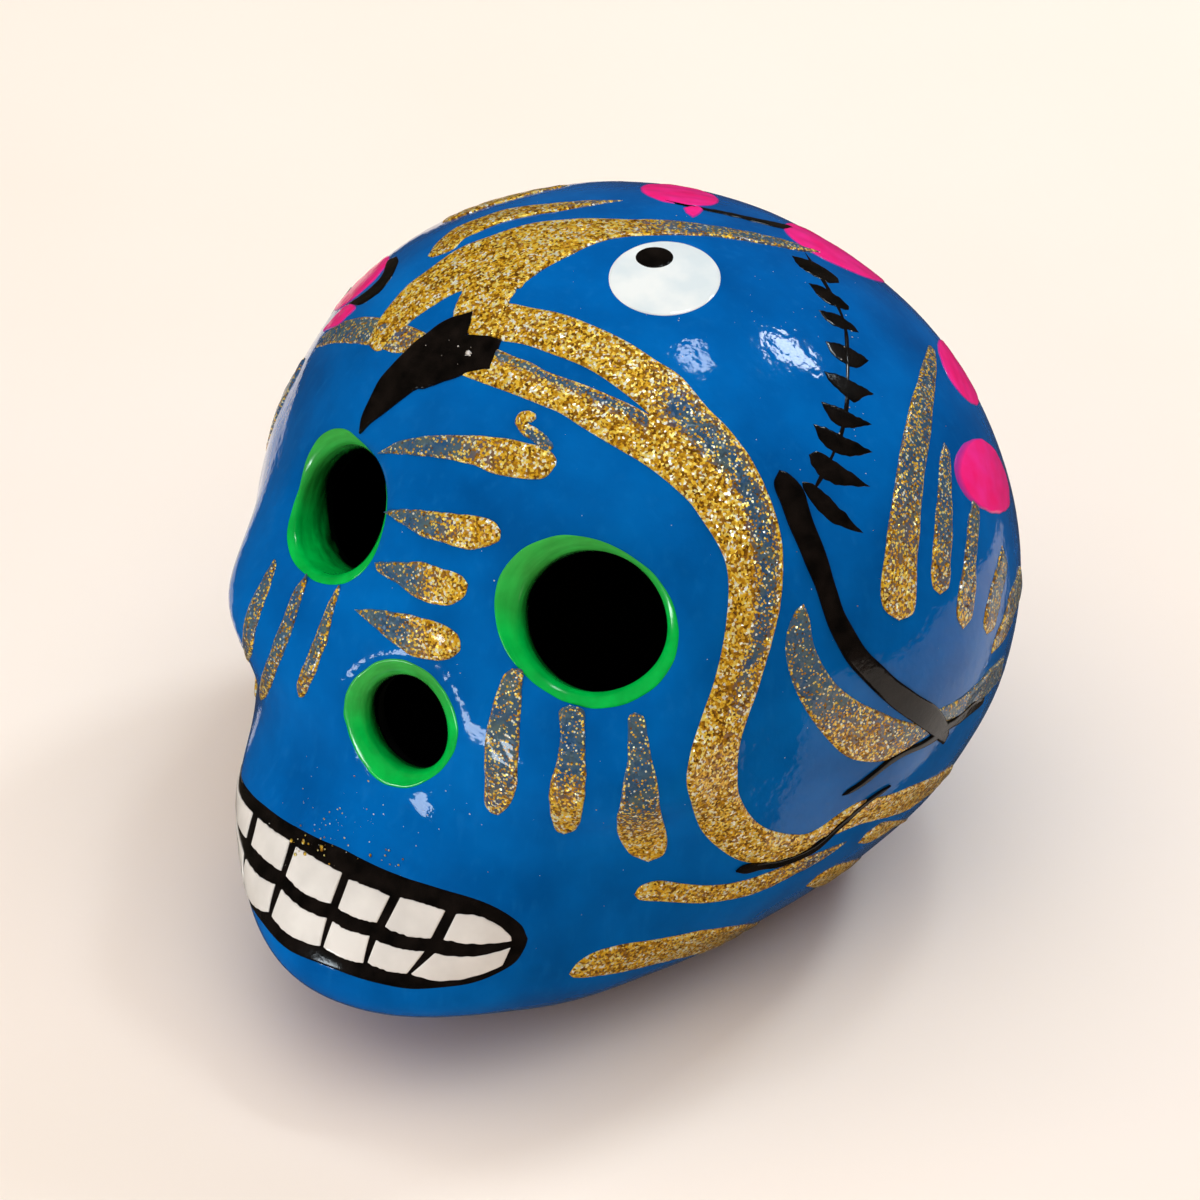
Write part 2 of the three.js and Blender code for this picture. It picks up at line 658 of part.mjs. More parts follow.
// Black leaf work on the side, in chart degrees
const SWEEP_FRONT_DEG = [
  [25, 25], [24.6, 21], [28.6, 13.9], [32.9, 6.8], [37.9, -0.2], [47.4, -7], [56, -9.8],
];
const SWEEP_BACK_DEG = [
  [25, 25], [27.4, 22], [31, 16], [35.3, 8.6], [40.3, 2.6], [48, -3], [56, -9.8],
];
const STEM_DEG = [[29, 22.5], [32, 27.5], [33.9, 35], [34.8, 44], [33.9, 51.9], [31.8, 60.5]];
const LEAVES_DEG = [
  [[27.4, 23.6], [37.5, 17.7]], [[28.2, 27.8], [37.7, 23.8]], [[28.7, 31.9], [38.3, 29]],
  [[29.9, 35.1], [38.3, 32.9]], [[30.5, 39.7], [38.4, 37.4]], [[31, 44.4], [38, 42.8]],
  [[30.4, 49.8], [37.1, 47.8]], [[29.3, 54.4], [36, 52]], [[28, 60], [35.2, 56.8]],
];
const EYEBROW_UPPER_DEG = [
  [-36.6, 32.6], [-37, 35.8], [-35.4, 40], [-31.3, 43.5], [-26, 45.4], [-23, 43.6],
];
const EYEBROW_LOWER_DEG = [
  [-36.6, 32.6], [-34.2, 33.6], [-30.4, 34.2], [-26, 35.2], [-22.6, 37], [-23, 43.6],
];

// Round marks: centre in chart degrees, its turn, and its size as a share of the full one
const EYEBALL_CENTRE_DEG = [7.9, 52.4];
const PUPIL_CENTRE_DEG = [6.6, 55.6];
const DOTS = [
  { centreDeg: [12.4, 76], turnDeg: 0, sizeShare: 1 },
  { centreDeg: [41, 70], turnDeg: 40, sizeShare: 1 },
  { centreDeg: [60, 51], turnDeg: 120, sizeShare: 1 },
  { centreDeg: [61.5, 30], turnDeg: 95, sizeShare: 1 },
  { centreDeg: [-43, 66], turnDeg: 55, sizeShare: 0.7 },
];

// A stem with its leaves, as one black coat
function branch() {
  let solid = toSolid(coat(stroke(STEM_DEG, STEM_HALF_WIDTH, () => 1, 10, 1)));
  for (const [from, to] of LEAVES_DEG) {
    solid = solid.add(toSolid(coat(stroke([from, to], LEAF_HALF_WIDTH, leafShare, 4, 1))));
  }
  return toGeometry(solid);
}

function eyeball() {
  const white = toSolid(coat(roundMark(EYEBALL_CENTRE_DEG, EYEBALL_HALF_LENGTH, EYEBALL_HALF_WIDTH, 0)));
  const hole = roundMark(PUPIL_CENTRE_DEG, PUPIL_HALF_LENGTH + CLEARANCE, PUPIL_HALF_WIDTH + CLEARANCE, 0);
  return toGeometry(white.subtract(coatCut(hole)));
}

// The long gold stroke, parted by a thin wedge of bare clay where its two strands begin
function swirl() {
  const whole = toSolid(coat(band(SWIRL_OUTER_DEG, SWIRL_INNER_DEG, 38, 4)));
  return toGeometry(whole.subtract(coatCut(band(SWIRL_GAP_UPPER_DEG, SWIRL_GAP_LOWER_DEG, 6))));
}

const paints = {
  blue: new THREE.MeshStandardMaterial({ color: 0x0a5fb4, roughness: 0.25 }),
  green: new THREE.MeshStandardMaterial({ color: 0x0cb154, roughness: 0.25 }),
  gold: new THREE.MeshStandardMaterial({ color: 0xc9971c, roughness: 0.5, metalness: 0.4 }),
  black: new THREE.MeshStandardMaterial({ color: 0x0c0c0d, roughness: 0.3 }),
  white: new THREE.MeshStandardMaterial({ color: 0xe9e7e2, roughness: 0.3 }),
  pink: new THREE.MeshStandardMaterial({ color: 0xff2f8c, roughness: 0.3 }),
};

const skull = new THREE.Group();

function add(name, geometry, paint) {
  const mesh = new THREE.Mesh(geometry, paints[paint]);
  mesh.name = name;
  skull.add(mesh);
}

for (const [name, geometry] of Object.entries(shells())) add(name, geometry, 'blue');
for (const [name, seat] of Object.entries(sockets)) add(name, socketLining(...seat), 'green');

add('mouth_lines', mouthLines(), 'black');
for (const row of ['upper', 'lower']) {
  for (let k = 0; k < TOOTH_EDGES_DEG.length - 1; k += 1) {
    add(`${row}_tooth_${k + 1}`, coat(tooth(row, k, 0)), 'white');
  }
}

// Strokes down the middle of the face and over the crown
BRIDGE_DROPS_DEG.forEach(([from, to], k) => {
  add(`bridge_drop_${k + 1}`, clearOfSockets(coat(drop([from, to], BRIDGE_DROP_HALF_WIDTHS[k]))), 'gold');
});
CROWN_STROKES_DEG.forEach((pointsDeg, k) => {
  add(`crown_stroke_${k + 1}`, coat(drop(pointsDeg, CROWN_STROKE_HALF_WIDTH, 12)), 'gold');
});
add('crown_arc', coat(band(ARC_UPPER_DEG, ARC_LOWER_DEG, 18)), 'gold');
add('eyebrow', clearOfSockets(coat(band(EYEBROW_UPPER_DEG, EYEBROW_LOWER_DEG, 12))), 'black');
add('eyeball', eyeball(), 'white');
add('pupil', coat(roundMark(PUPIL_CENTRE_DEG, PUPIL_HALF_LENGTH, PUPIL_HALF_WIDTH, 0)), 'black');
DOTS.forEach(({ centreDeg, turnDeg, sizeShare }, k) => {
  const mark = roundMark(centreDeg, DOT_HALF_LENGTH * sizeShare, DOT_HALF_WIDTH * sizeShare, turnDeg);
  add(`dot_${k + 1}`, coat(mark), 'pink');
});

// Strokes that both sides have
for (const [side, on] of Object.entries({ left: (patch) => patch, right: otherSide })) {
  CHEEK_DROPS_DEG.forEach((pointsDeg, k) => {
    const paint = coat(on(drop(pointsDeg, CHEEK_DROP_HALF_WIDTH)));
    add(`${side}_cheek_drop_${k + 1}`, clearOfSockets(paint), 'gold');
  });
  BACK_STROKES_DEG.forEach((pointsDeg, k) => {
    add(`${side}_back_stroke_${k + 1}`, coat(on(drop(pointsDeg, BACK_STROKE_HALF_WIDTHS[k]))), 'gold');
  });
  add(`${side}_crescent`, coat(on(band(CRESCENT_OUTER_DEG, CRESCENT_INNER_DEG, 12))), 'gold');
  add(`${side}_upper_jaw_stroke`, coat(on(band(UPPER_JAW_TOP_DEG, UPPER_JAW_BOTTOM_DEG, 9))), 'gold');
  add(`${side}_lower_jaw_stroke`, coat(on(band(LOWER_JAW_TOP_DEG, LOWER_JAW_BOTTOM_DEG, 9))), 'gold');
  add(`${side}_sweep`, coat(on(band(SWEEP_FRONT_DEG, SWEEP_BACK_DEG, 14))), 'black');
}
add('branch', branch(), 'black');
add('swirl', swirl(), 'gold');

export default skull;
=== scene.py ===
"""Painted clay skull: the fired clay shell, its socket linings, the painted teeth, the brush strokes in
gold glitter and black enamel, and the pink dots. Lengths are in millimetres until a mesh is made."""

import math

import bpy
import numpy as np
from mathutils import Matrix


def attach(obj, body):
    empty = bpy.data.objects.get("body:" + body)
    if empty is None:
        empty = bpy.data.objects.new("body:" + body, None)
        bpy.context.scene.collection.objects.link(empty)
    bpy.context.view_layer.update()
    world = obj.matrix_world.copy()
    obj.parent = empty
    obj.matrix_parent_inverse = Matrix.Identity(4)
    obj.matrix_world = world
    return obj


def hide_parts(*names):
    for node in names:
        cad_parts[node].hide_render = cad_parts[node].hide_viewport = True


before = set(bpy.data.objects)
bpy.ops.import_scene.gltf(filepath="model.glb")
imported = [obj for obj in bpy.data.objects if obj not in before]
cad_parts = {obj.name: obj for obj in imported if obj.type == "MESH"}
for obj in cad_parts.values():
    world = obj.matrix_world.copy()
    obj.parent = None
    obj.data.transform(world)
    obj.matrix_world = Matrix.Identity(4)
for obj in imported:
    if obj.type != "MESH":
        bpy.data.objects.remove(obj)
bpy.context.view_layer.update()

# Metres in a millimetre
METRES = 0.001

# The camera: where it looks from, how long its lens is, and how far it is rolled
CAMERA_TURN_DEG = 32.674
CAMERA_RISE_DEG = 37.872
CAMERA_ROLL_DEG = 2.54
CAMERA_AWAY = 755.25
CAMERA_AIM = np.array([0.09, -2.76, 37.45])
FOCAL_PX = 6144.64
PHOTO_SIDE_PX = 1200
SENSOR_WIDTH = 36.0

# The clay form, the same ellipsoids as the solids
CRANIUM_HALVES = (47.7, 47.0, 46.0)
CRANIUM_Y, CRANIUM_Z = 2.7, 40.5
CRANIUM_PITCH_DEG = -2.6
CRANIUM_WIDENING = 0.076
BROW_HALVES, BROW_Y, BROW_Z, BROW_BLEND = (27.0, 14.1, 15.4), -10.6, 60.0, 11.6
JAW_HALVES, JAW_Y, JAW_Z, JAW_BLEND = (24.8, 36.0, 14.2), -25.5, 17.0, 20.5
CHEEK_HALVES, CHEEK_X, CHEEK_Y, CHEEK_Z, CHEEK_BLEND = (13.6, 9.0, 5.3), 17.8, -32.7, 44.9, 12.0
WALL = 4.5
BASE_ROUNDING = 3.0
# Points of the skin are found along rays from here
HEART = np.array([0.0, -4.0, 31.0])

# Outer edges of the green paint, traced as pixels of the photograph
LEFT_EYE_RIM_PX = [
    (493, 609.5), (497.5, 584), (516.3, 552.8), (532.5, 542.4), (562.6, 535), (599.6, 541.3),
    (636.7, 559.8), (662.1, 587.5), (675.6, 614.2), (678.3, 632.7), (670.2, 667.4), (645.9, 692.9),
    (618.1, 706.8), (578.8, 706.3), (546.4, 692.9), (516.3, 667.4), (500, 640),
]
RIGHT_EYE_RIM_PX = [
    (332, 428.6), (344, 430.6), (362, 446), (370, 459), (376, 475), (382.4, 509), (382, 525), (378, 541),
    (362, 571), (340, 583.6), (312, 581), (292, 561), (285.4, 525), (293, 493), (303, 467), (314, 439),
]
NOSE_RIM_PX = [
    (389.8, 658), (416, 665.4), (438.8, 682.9), (453.7, 708.3), (457.2, 729), (447.5, 762.5), (428.3, 780),
    (402, 787.4), (377.5, 781.8), (362.6, 762.5), (351.3, 741.5), (343, 717), (348.6, 687.3), (367, 667.1),
]
# Sockets: across and up to a point on the skin, the way the hole runs out, its radius, how wide its lip
# is, how deep its wall goes, how much and where the wall closes in, and the edge of its green paint
SOCKETS = {
    "left_eye": dict(
        place=(18.2, 62.4), way=(0.10, -0.80, 0.59), hole=8.3, lip=4.2, wall=5.2,
        closing=0.0, toward_deg=0, rim_px=LEFT_EYE_RIM_PX,
    ),
    "right_eye": dict(
        place=(-18.2, 62.4), way=(-0.10, -0.80, 0.59), hole=7.9, lip=3.8, wall=7.6,
        closing=2.2, toward_deg=-112, rim_px=RIGHT_EYE_RIM_PX,
    ),
    "nose": dict(
        place=(0.0, 45.2), way=(0.0, -0.88, 0.47), hole=5.8, lip=3.4, wall=4.0,
        closing=0.0, toward_deg=0, rim_px=NOSE_RIM_PX,
    ),
}

# The chart: a flat map of directions in degrees, centred on the front left of the skull
CHART_TURN_DEG = 33.0
CHART_RISE_DEG = 38.0


def unit(v):
    """Vectors at a length of 1."""
    return v / np.linalg.norm(v, axis=-1, keepdims=True)


def bell(value, middle, width):
    """A smooth bump of height 1 round a middle value."""
    return np.exp(-(((value - middle) / width) ** 2))


def turned(turn_deg, rise_deg):
    """Unit directions from degrees of turn to the skull's left of straight ahead and degrees of rise."""
    turn, rise = np.radians(turn_deg), np.radians(rise_deg)
    return np.stack([np.sin(turn) * np.cos(rise), -np.cos(turn) * np.cos(rise), np.sin(rise) + 0 * turn], -1)


# Camera directions: back towards it, right and up in its picture
camera_back = turned(CAMERA_TURN_DEG, CAMERA_RISE_DEG)
level_right = np.array([math.cos(math.radians(CAMERA_TURN_DEG)), math.sin(math.radians(CAMERA_TURN_DEG)), 0])
level_up = np.cross(camera_back, level_right)
roll = math.radians(CAMERA_ROLL_DEG)
camera_right = level_right * math.cos(roll) + level_up * math.sin(roll)
camera_up = level_up * math.cos(roll) - level_right * math.sin(roll)
camera_place = CAMERA_AIM + camera_back * CAMERA_AWAY

chart_middle = turned(CHART_TURN_DEG, CHART_RISE_DEG)
chart_left = turned(CHART_TURN_DEG + 90, 0.0)
chart_up = np.cross(chart_middle, chart_left)


def ellipsoid(x, y, z, halves):
    """Distance-like measure to an ellipsoid: k (k - 1) / g, k the scaled radius and g its slope."""
    a, b, c = halves
    near = np.sqrt((x / a) ** 2 + (y / b) ** 2 + (z / c) ** 2)
    far = np.sqrt((x / a**2) ** 2 + (y / b**2) ** 2 + (z / c**2) ** 2)
    return near * (near - 1) / np.maximum(far, 1e-9)


def smooth_least(a, b, width):
    """The lesser of two, with a parabola over the width where they cross."""
    share = np.maximum(width - np.abs(a - b), 0) / width
    return np.minimum(a, b) - share**2 * width / 4


def plain_form(p):
    """Below zero inside the skull: the smooth union of cranium, brow, jaw and both cheekbones."""
    x, y, z = p[..., 0], p[..., 1], p[..., 2]
    c, s = math.cos(math.radians(CRANIUM_PITCH_DEG)), math.sin(math.radians(CRANIUM_PITCH_DEG))
    along = c * (y - CRANIUM_Y) + s * (z - CRANIUM_Z)
    rise = c * (z - CRANIUM_Z) - s * (y - CRANIUM_Y)
    widened = 1 + CRANIUM_WIDENING * np.clip(along / CRANIUM_HALVES[1], -1.2, 1.2)
    cranium = ellipsoid(x / widened, along, rise, CRANIUM_HALVES)
    brow = ellipsoid(x, y - BROW_Y, z - BROW_Z, BROW_HALVES)
    jaw = ellipsoid(x, y - JAW_Y, z - JAW_Z, JAW_HALVES)
    cheek = ellipsoid(np.abs(x) - CHEEK_X, y - CHEEK_Y, z - CHEEK_Z, CHEEK_HALVES)
    head = smooth_least(smooth_least(cranium, brow, BROW_BLEND), jaw, JAW_BLEND)
    return smooth_least(head, cheek, CHEEK_BLEND)


def first_crossing(field, start, way, reach=150.0, steps=30):
    """The point along each ray where the field turns positive, by halving."""
    near = np.zeros(way.shape[:-1])
    far = np.full(way.shape[:-1], reach)
    for _ in range(steps):
        middle = (near + far) / 2
        inside = field(start + way * middle[..., None]) < 0
        near, far = np.where(inside, middle, near), np.where(inside, far, middle)
    return start + way * ((near + far) / 2)[..., None]


def slope(field, p, step=0.02):
    """Unit direction in which the field grows, by central differences."""
    steps = np.eye(3) * step
    return unit(np.stack([field(p + s) - field(p - s) for s in steps], -1))


for socket in SOCKETS.values():
    x, z = socket["place"]
    socket["middle"] = first_crossing(plain_form, np.array([x, HEART[1], z]), np.array([0.0, -1.0, 0.0]))
    socket["out"] = unit(np.array(socket["way"]))
    socket["across"] = unit(np.cross([0, 0, 1], socket["out"]))
    socket["up"] = np.cross(socket["out"], socket["across"])

# Places where this skull swells out of the mould's form: degrees of turn and rise, height and radius
SWELLS = [
    ((-29, -9), 1.7, 10.0),
    ((-82, 58), 1.5, 17.0),
    ((35, -36), 0.6, 11.0),
    ((-42, -26), 0.7, 12.0),
    ((8, -36), 0.5, 9.0),
]
swell_middles = [
    first_crossing(plain_form, HEART, turned(*map(np.float64, place))) for place, _, _ in SWELLS
]

# Slow waves left by hand smoothing: directions, lengths, phases and heights of a few sines
rng = np.random.default_rng(7)
WAVES = [
    (unit(rng.normal(size=3)), length, rng.uniform(0, 2 * math.pi), height)
    for length, height in [(31, 0.10), (24, 0.08), (19, 0.07), (14, 0.04), (11, 0.03), (8, 0.015)]
]

# A low ring round each socket's hole, how deep beside the hole it goes, and how far the skin lies inside
# the solids' form
RING_AWAY, RING_WIDTH, RING_HEIGHT, RING_DEPTH = 4.0, 1.7, 0.05, 12
SKIN_SUNK = 0.3


def relief(p):
    """How far the clay stands off the plain form: slow waves, rings round the sockets, and swells."""
    swell = sum(
        height * np.sin(p @ way * 2 * math.pi / length + phase) for way, length, phase, height in WAVES
    )
    for socket in SOCKETS.values():
        away = p - socket["middle"]
        along = away @ socket["out"]
        radius = np.linalg.norm(away - along[..., None] * socket["out"], axis=-1)
        ring = bell(radius - socket["hole"], RING_AWAY, RING_WIDTH)
        swell = swell + RING_HEIGHT * ring * (along > -RING_DEPTH)
    for middle, (_, height, radius) in zip(swell_middles, SWELLS):
        swell = swell + height * np.exp(-(((p - middle) ** 2).sum(-1)) / radius**2)
    return swell - SKIN_SUNK


def skin_form(p):
    """The finished skin: the plain form with its relief, rounded into the flat base it stands on."""
    return -smooth_least(-(plain_form(p) - relief(p)), p[..., 2], BASE_ROUNDING)


def on_skin(ways):
    """Points and outward normals of the skin in directions from the heart."""
    points = first_crossing(skin_form, HEART, ways)
    return points, slope(skin_form, points)


def from_chart(degrees):
    """Directions from chart degrees, which keep distance and bearing from the chart's middle."""
    degrees = np.asarray(degrees, float)
    angle = np.hypot(degrees[..., 0], degrees[..., 1])
    away = np.where(angle > 1e-9, np.sin(np.radians(angle)) / np.maximum(angle, 1e-9), math.pi / 180)
    return (
        chart_middle * np.cos(np.radians(angle))[..., None]
        + chart_left * (degrees[..., 0] * away)[..., None]
        + chart_up * (degrees[..., 1] * away)[..., None]
    )


def to_chart(ways):
    """Chart degrees of directions."""
    ways = unit(ways)
    angle = np.arccos(np.clip(ways @ chart_middle, -1, 1))
    stretch = np.where(angle > 1e-9, np.degrees(angle) / np.maximum(np.sin(angle), 1e-9), 1)
    return np.stack([ways @ chart_left * stretch, ways @ chart_up * stretch], -1)


def about_upright(ways, turn_deg):
    """Directions turned about the upright, towards the skull's left."""
    c, s = math.cos(math.radians(turn_deg)), math.sin(math.radians(turn_deg))
    return ways @ np.array([[c, s, 0], [-s, c, 0], [0, 0, 1]])


# Rays of the photograph are walked from before the skull's middle to beyond it, in steps, then halved
WALK_FROM, WALK_TO, WALK_STEPS, WALK_HALVINGS = -90, 70, 641, 16


def seen_at(pixels):
    """Chart degrees of the places that pixels of the photograph look at. Each ray is walked until it
    meets the skin, or to where it passes closest."""
    pixels = np.asarray(pixels, float)
    middle = PHOTO_SIDE_PX / 2
    way = unit(
        -camera_back
        + camera_right * ((pixels[..., 0] - middle) / FOCAL_PX)[..., None]
        + camera_up * ((middle - pixels[..., 1]) / FOCAL_PX)[..., None]
    )
    far = CAMERA_AWAY + np.linspace(WALK_FROM, WALK_TO, WALK_STEPS)
    walk = camera_place + way[..., None, :] * far[:, None]
    measure = skin_form(walk)
    hits = (measure < 0).any(-1)
    first = np.where(hits, (measure < 0).argmax(-1), measure.argmin(-1))
    away = far[first]
    near, beyond = away - (far[1] - far[0]), away
    for _ in range(WALK_HALVINGS):
        half = (near + beyond) / 2
        inside = skin_form(camera_place + way * half[..., None]) < 0
        near, beyond = np.where(inside, near, half), np.where(inside, half, beyond)
    away = np.where(hits, beyond, away)
    return to_chart(camera_place + way * away[..., None] - HEART)


def smooth_step(low, high, value):
    """A share that goes smoothly from 0 to 1 between a low and a high value."""
    share = np.clip((value - low) / (high - low), 0, 1)
    return share * share * (3 - 2 * share)


# How a curve's parameter grows with the chords between its points, and how finely its length is taken
CHORD_POWER, LENGTH_STEPS = 0.75, 400


def curve_through(points, share):
    """Points at shares of the length of a smooth curve through control points. Between two of them it
    is a cubic whose end slopes are those of the chord across each point."""
    points = np.asarray(points, float)
    chords = np.linalg.norm(np.diff(points, axis=0), axis=1)
    length = np.concatenate([[0], np.cumsum(chords**CHORD_POWER)])
    slopes = np.empty_like(points)
    slopes[1:-1] = (points[2:] - points[:-2]) / (length[2:] - length[:-2])[:, None]
    slopes[0] = (points[1] - points[0]) / (length[1] - length[0])
    slopes[-1] = (points[-1] - points[-2]) / (length[-1] - length[-2])

    def at(t):
        k = np.clip(np.searchsorted(length, t, side="right") - 1, 0, len(points) - 2)
        h = (length[k + 1] - length[k])[:, None]
        u = ((t - length[k]) / (length[k + 1] - length[k]))[:, None]
        return (
            points[k] * (1 + 2 * u) * (1 - u) ** 2
            + slopes[k] * h * u * (1 - u) ** 2
            + points[k + 1] * u**2 * (3 - 2 * u)
            + slopes[k + 1] * h * u**2 * (u - 1)
        )

    fine_at = np.linspace(0, length[-1], LENGTH_STEPS)
    fine = at(fine_at)
    run = np.concatenate([[0], np.cumsum(np.linalg.norm(np.diff(fine, axis=0), axis=1))])
    return at(np.interp(np.asarray(share) * run[-1], run, fine_at))


def eased(count, ease=0.6):
    """Shares from 0 to 1, closer together at both ends."""
    t = np.linspace(0, 1, count)
    return t * (1 - ease) + (0.5 - 0.5 * np.cos(math.pi * t)) * ease


def new_piece(name, points, faces, *materials, smooth=True):
    """A mesh object from points in millimetres and lists of faces."""
    mesh = bpy.data.meshes.new(name)
    mesh.from_pydata((np.asarray(points) * METRES).tolist(), [], faces)
    mesh.update()
    if smooth:
        mesh.shade_smooth()
    else:
        mesh.shade_flat()
    piece = bpy.data.objects.new(name, mesh)
    bpy.context.scene.collection.objects.link(piece)
    for material in materials:
        mesh.materials.append(material)
    return piece


def store(piece, name, values):
    """Keep a number, or three, for each point of a piece, for its material to read."""
    kind, key = ("FLOAT", "value") if values.ndim == 1 else ("FLOAT_VECTOR", "vector")
    field = piece.data.attributes.new(name, kind, "POINT")
    field.data.foreach_set(key, values.astype(np.float32).ravel())


def grid_faces(index):
    """Quads of a grid of point numbers."""
    a, b, c, d = index[:-1, :-1], index[1:, :-1], index[1:, 1:], index[:-1, 1:]
    return np.stack([a, b, c, d], -1).reshape(-1, 4)


# Points nearer than about this become one
WELD_GAP = 0.002


def weld(points, quads):
    """Merge points that fall together, drop faces that vanish and turn faces with three corners left
    into triangles. Returns the numbers of the points that are kept, and the faces between them."""
    rounded = np.round(points / WELD_GAP).astype(int)
    _, kept, number = np.unique(rounded, axis=0, return_index=True, return_inverse=True)
    quads = number.reshape(-1)[quads]
    doubled = quads == np.roll(quads, -1, axis=1)
    whole = quads[~doubled.any(1) & (quads[:, 0] != quads[:, 2]) & (quads[:, 1] != quads[:, 3])]
    bent = quads[doubled.sum(1) == 1]
    triangles = bent[bent != np.roll(bent, -1, axis=1)].reshape(-1, 3)
    return kept, whole.tolist() + triangles.tolist()


def facing_out(points, faces):
    """The faces, turned over where the volume that they enclose comes out below zero."""
    halves = [face[:3] for face in faces]
    halves += [[face[0], face[2], face[3]] for face in faces if len(face) == 4]
    a, b, c = (points[corner] for corner in np.array(halves).T)
    if np.einsum("ij,ij->", a, np.cross(b, c)) < 0:
        return [face[::-1] for face in faces]
    return faces


# Sines that make up the wobble of an edge, how fast they run, and how fast the ends fade in
EDGE_WAVES, EDGE_PACE, EDGE_FADE = 9, 1.7, 4


def wander(share, size, seed):
    """A small hand-made wobble along an edge: a sum of sines that is nothing at both ends."""
    own = np.random.default_rng(seed)
    numbers = np.arange(2, 2 + EDGE_WAVES)[:, None]
    sizes = own.normal(size=(EDGE_WAVES, 1)) / np.sqrt(numbers)
    phases = own.uniform(0, 6, (EDGE_WAVES, 1))
    sum_of_sines = (sizes * np.sin(numbers * math.pi * share * EDGE_PACE + phases)).sum(0)
    return size * sum_of_sines * np.clip(np.sin(math.pi * share) * EDGE_FADE, 0, 1)


# Points whose distance is taken at a time
BATCH = 400


def nearest(points, border):
    """Distance from each point to the nearest of the border's points, some hundreds at a time."""
    flat = points.reshape(-1, 3)
    batches = np.array_split(flat, len(flat) // BATCH + 1)
    parts = [np.sqrt(((part[:, None] - border) ** 2).sum(-1).min(1)) for part in batches]
    return np.concatenate(parts).reshape(points.shape[:-1])


def crowned(distance, edge):
    """Height share of a coat of paint: a quarter circle over the width of its edge, then level."""
    return np.sqrt(1 - (1 - np.clip(distance / edge, 0, 1)) ** 2)


# How deep in the skin a coat's border, its back and the bare strip of a parted stroke lie
BORDER_DEPTH, UNDER_DEPTH, STRIP_DEPTH = 0.05, 0.15, 0.25
# What a stroke's seed grows by for the draws of its uneven surface
RIDGE_SEED = 77
# Sines of a coat's uneven surface: how many, their least and greatest pace, and what their sum is
# measured against
RIDGE_COUNT, RIDGE_PACES, RIDGE_PEAK = 4, (1.2, 3.4), 2.5
# How much closer together a coat's columns are at its edges
COLUMN_EASE = 0.8


def coat_grid(
    lines, along, columns, thick, edge, seed, far_turn_deg=0, parted=None, lift=0.0, uneven=0.2, wobble=0.05
):
    """A coat of paint between hand-drawn edges. The lines are rows of chart degrees, one for each share
    along the stroke. Points lie along them and at shares across, stand on the skin, and rise from just
    inside it at the border to the coat's thickness. A coat with a far turn is mirrored to the other side
    and turned by so many degrees. Where the stroke parts, the strip between its two middle lines dips
    under the skin. Returns points, quads, and each point's share along, share across and distance from
    the border."""
    lines = list(lines)
    across = lines[-1] - lines[0]
    across = across / np.maximum(np.linalg.norm(across, axis=1, keepdims=True), 1e-6)
    lines[0] = lines[0] + across * wander(along, wobble, seed)[:, None]
    lines[-1] = lines[-1] + across * wander(along, wobble, seed + 1)[:, None]
    strips, shares = [], []
    for k, (near, far) in enumerate(zip(lines, lines[1:])):
        v = np.linspace(0, 1, 3) if k == 1 else eased(columns, COLUMN_EASE)
        v = v if k == 0 else v[1:]
        strips.append(near[:, None] * (1 - v)[:, None] + far[:, None] * v[:, None])
        shares.append((k + v) / (len(lines) - 1))
    degrees, v = np.concatenate(strips, 1), np.concatenate(shares)
    ways = from_chart(degrees)
    if far_turn_deg:
        ways = about_upright(ways * [-1, 1, 1], far_turn_deg)
    skin, normal = on_skin(ways)
    border = np.concatenate([skin[0], skin[-1], skin[:, 0], skin[:, -1]])
    if parted is not None:
        gap_at = np.nonzero((v > 1 / 3 - 1e-9) & (v < 2 / 3 + 1e-9))[0]
        split_rows = along < parted
        border = np.concatenate([border, skin[split_rows][:, gap_at[0]], skin[split_rows][:, gap_at[-1]]])
    distance = nearest(skin, border)
    own = np.random.default_rng(seed + RIDGE_SEED)
    ridges = sum(
        np.sin(skin @ unit(own.normal(size=3)) * own.uniform(*RIDGE_PACES) + own.uniform(0, 6))
        for _ in range(RIDGE_COUNT)
    )
    height = lift + thick * crowned(distance, edge) * (1 + uneven * ridges / RIDGE_PEAK) - BORDER_DEPTH
    if parted is not None:
        inner = np.zeros_like(height, bool)
        inner[np.ix_(split_rows, gap_at[1:-1])] = True
        height = np.where(inner, -STRIP_DEPTH, height)
    top = skin + normal * height[..., None]
    under = skin - normal * UNDER_DEPTH
    number = np.arange(top.shape[0] * top.shape[1]).reshape(top.shape[:2])
    under_number = number + number.size
    inside = (slice(1, -1), slice(1, -1))
    joined = number.copy()
    joined[inside] = under_number[inside]
    quads = np.concatenate([grid_faces(number), grid_faces(joined)[:, ::-1]])
    points = np.concatenate([top.reshape(-1, 3), under.reshape(-1, 3)])
    shown = (along[:, None], v[None], distance)
    values = [np.broadcast_to(each, top.shape[:2]).reshape(-1) for each in shown]
    return points, quads, [np.tile(each, 2) for each in values]


def paint(name, grids, material, replaces=True, cover=None):
    """One piece from the grids of its coats, with the share of glitter or paint at each point where
    asked for."""
    points, quads, covers = [], [], []
    count = 0
    for grid_points, grid_quads, values in grids:
        points.append(grid_points)
        quads.append(grid_quads + count)
        count += len(grid_points)
        covers.append(cover(*values) if cover else np.ones(len(grid_points)))
    points = np.concatenate(points)
    kept, faces = weld(points, np.concatenate(quads))
    points = points[kept]
    piece = new_piece(name, points, facing_out(points - points.mean(0), faces), material)
    if cover:
        store(piece, "cover", np.concatenate(covers)[kept])
    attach(piece, "root")
    if replaces:
        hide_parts(name)


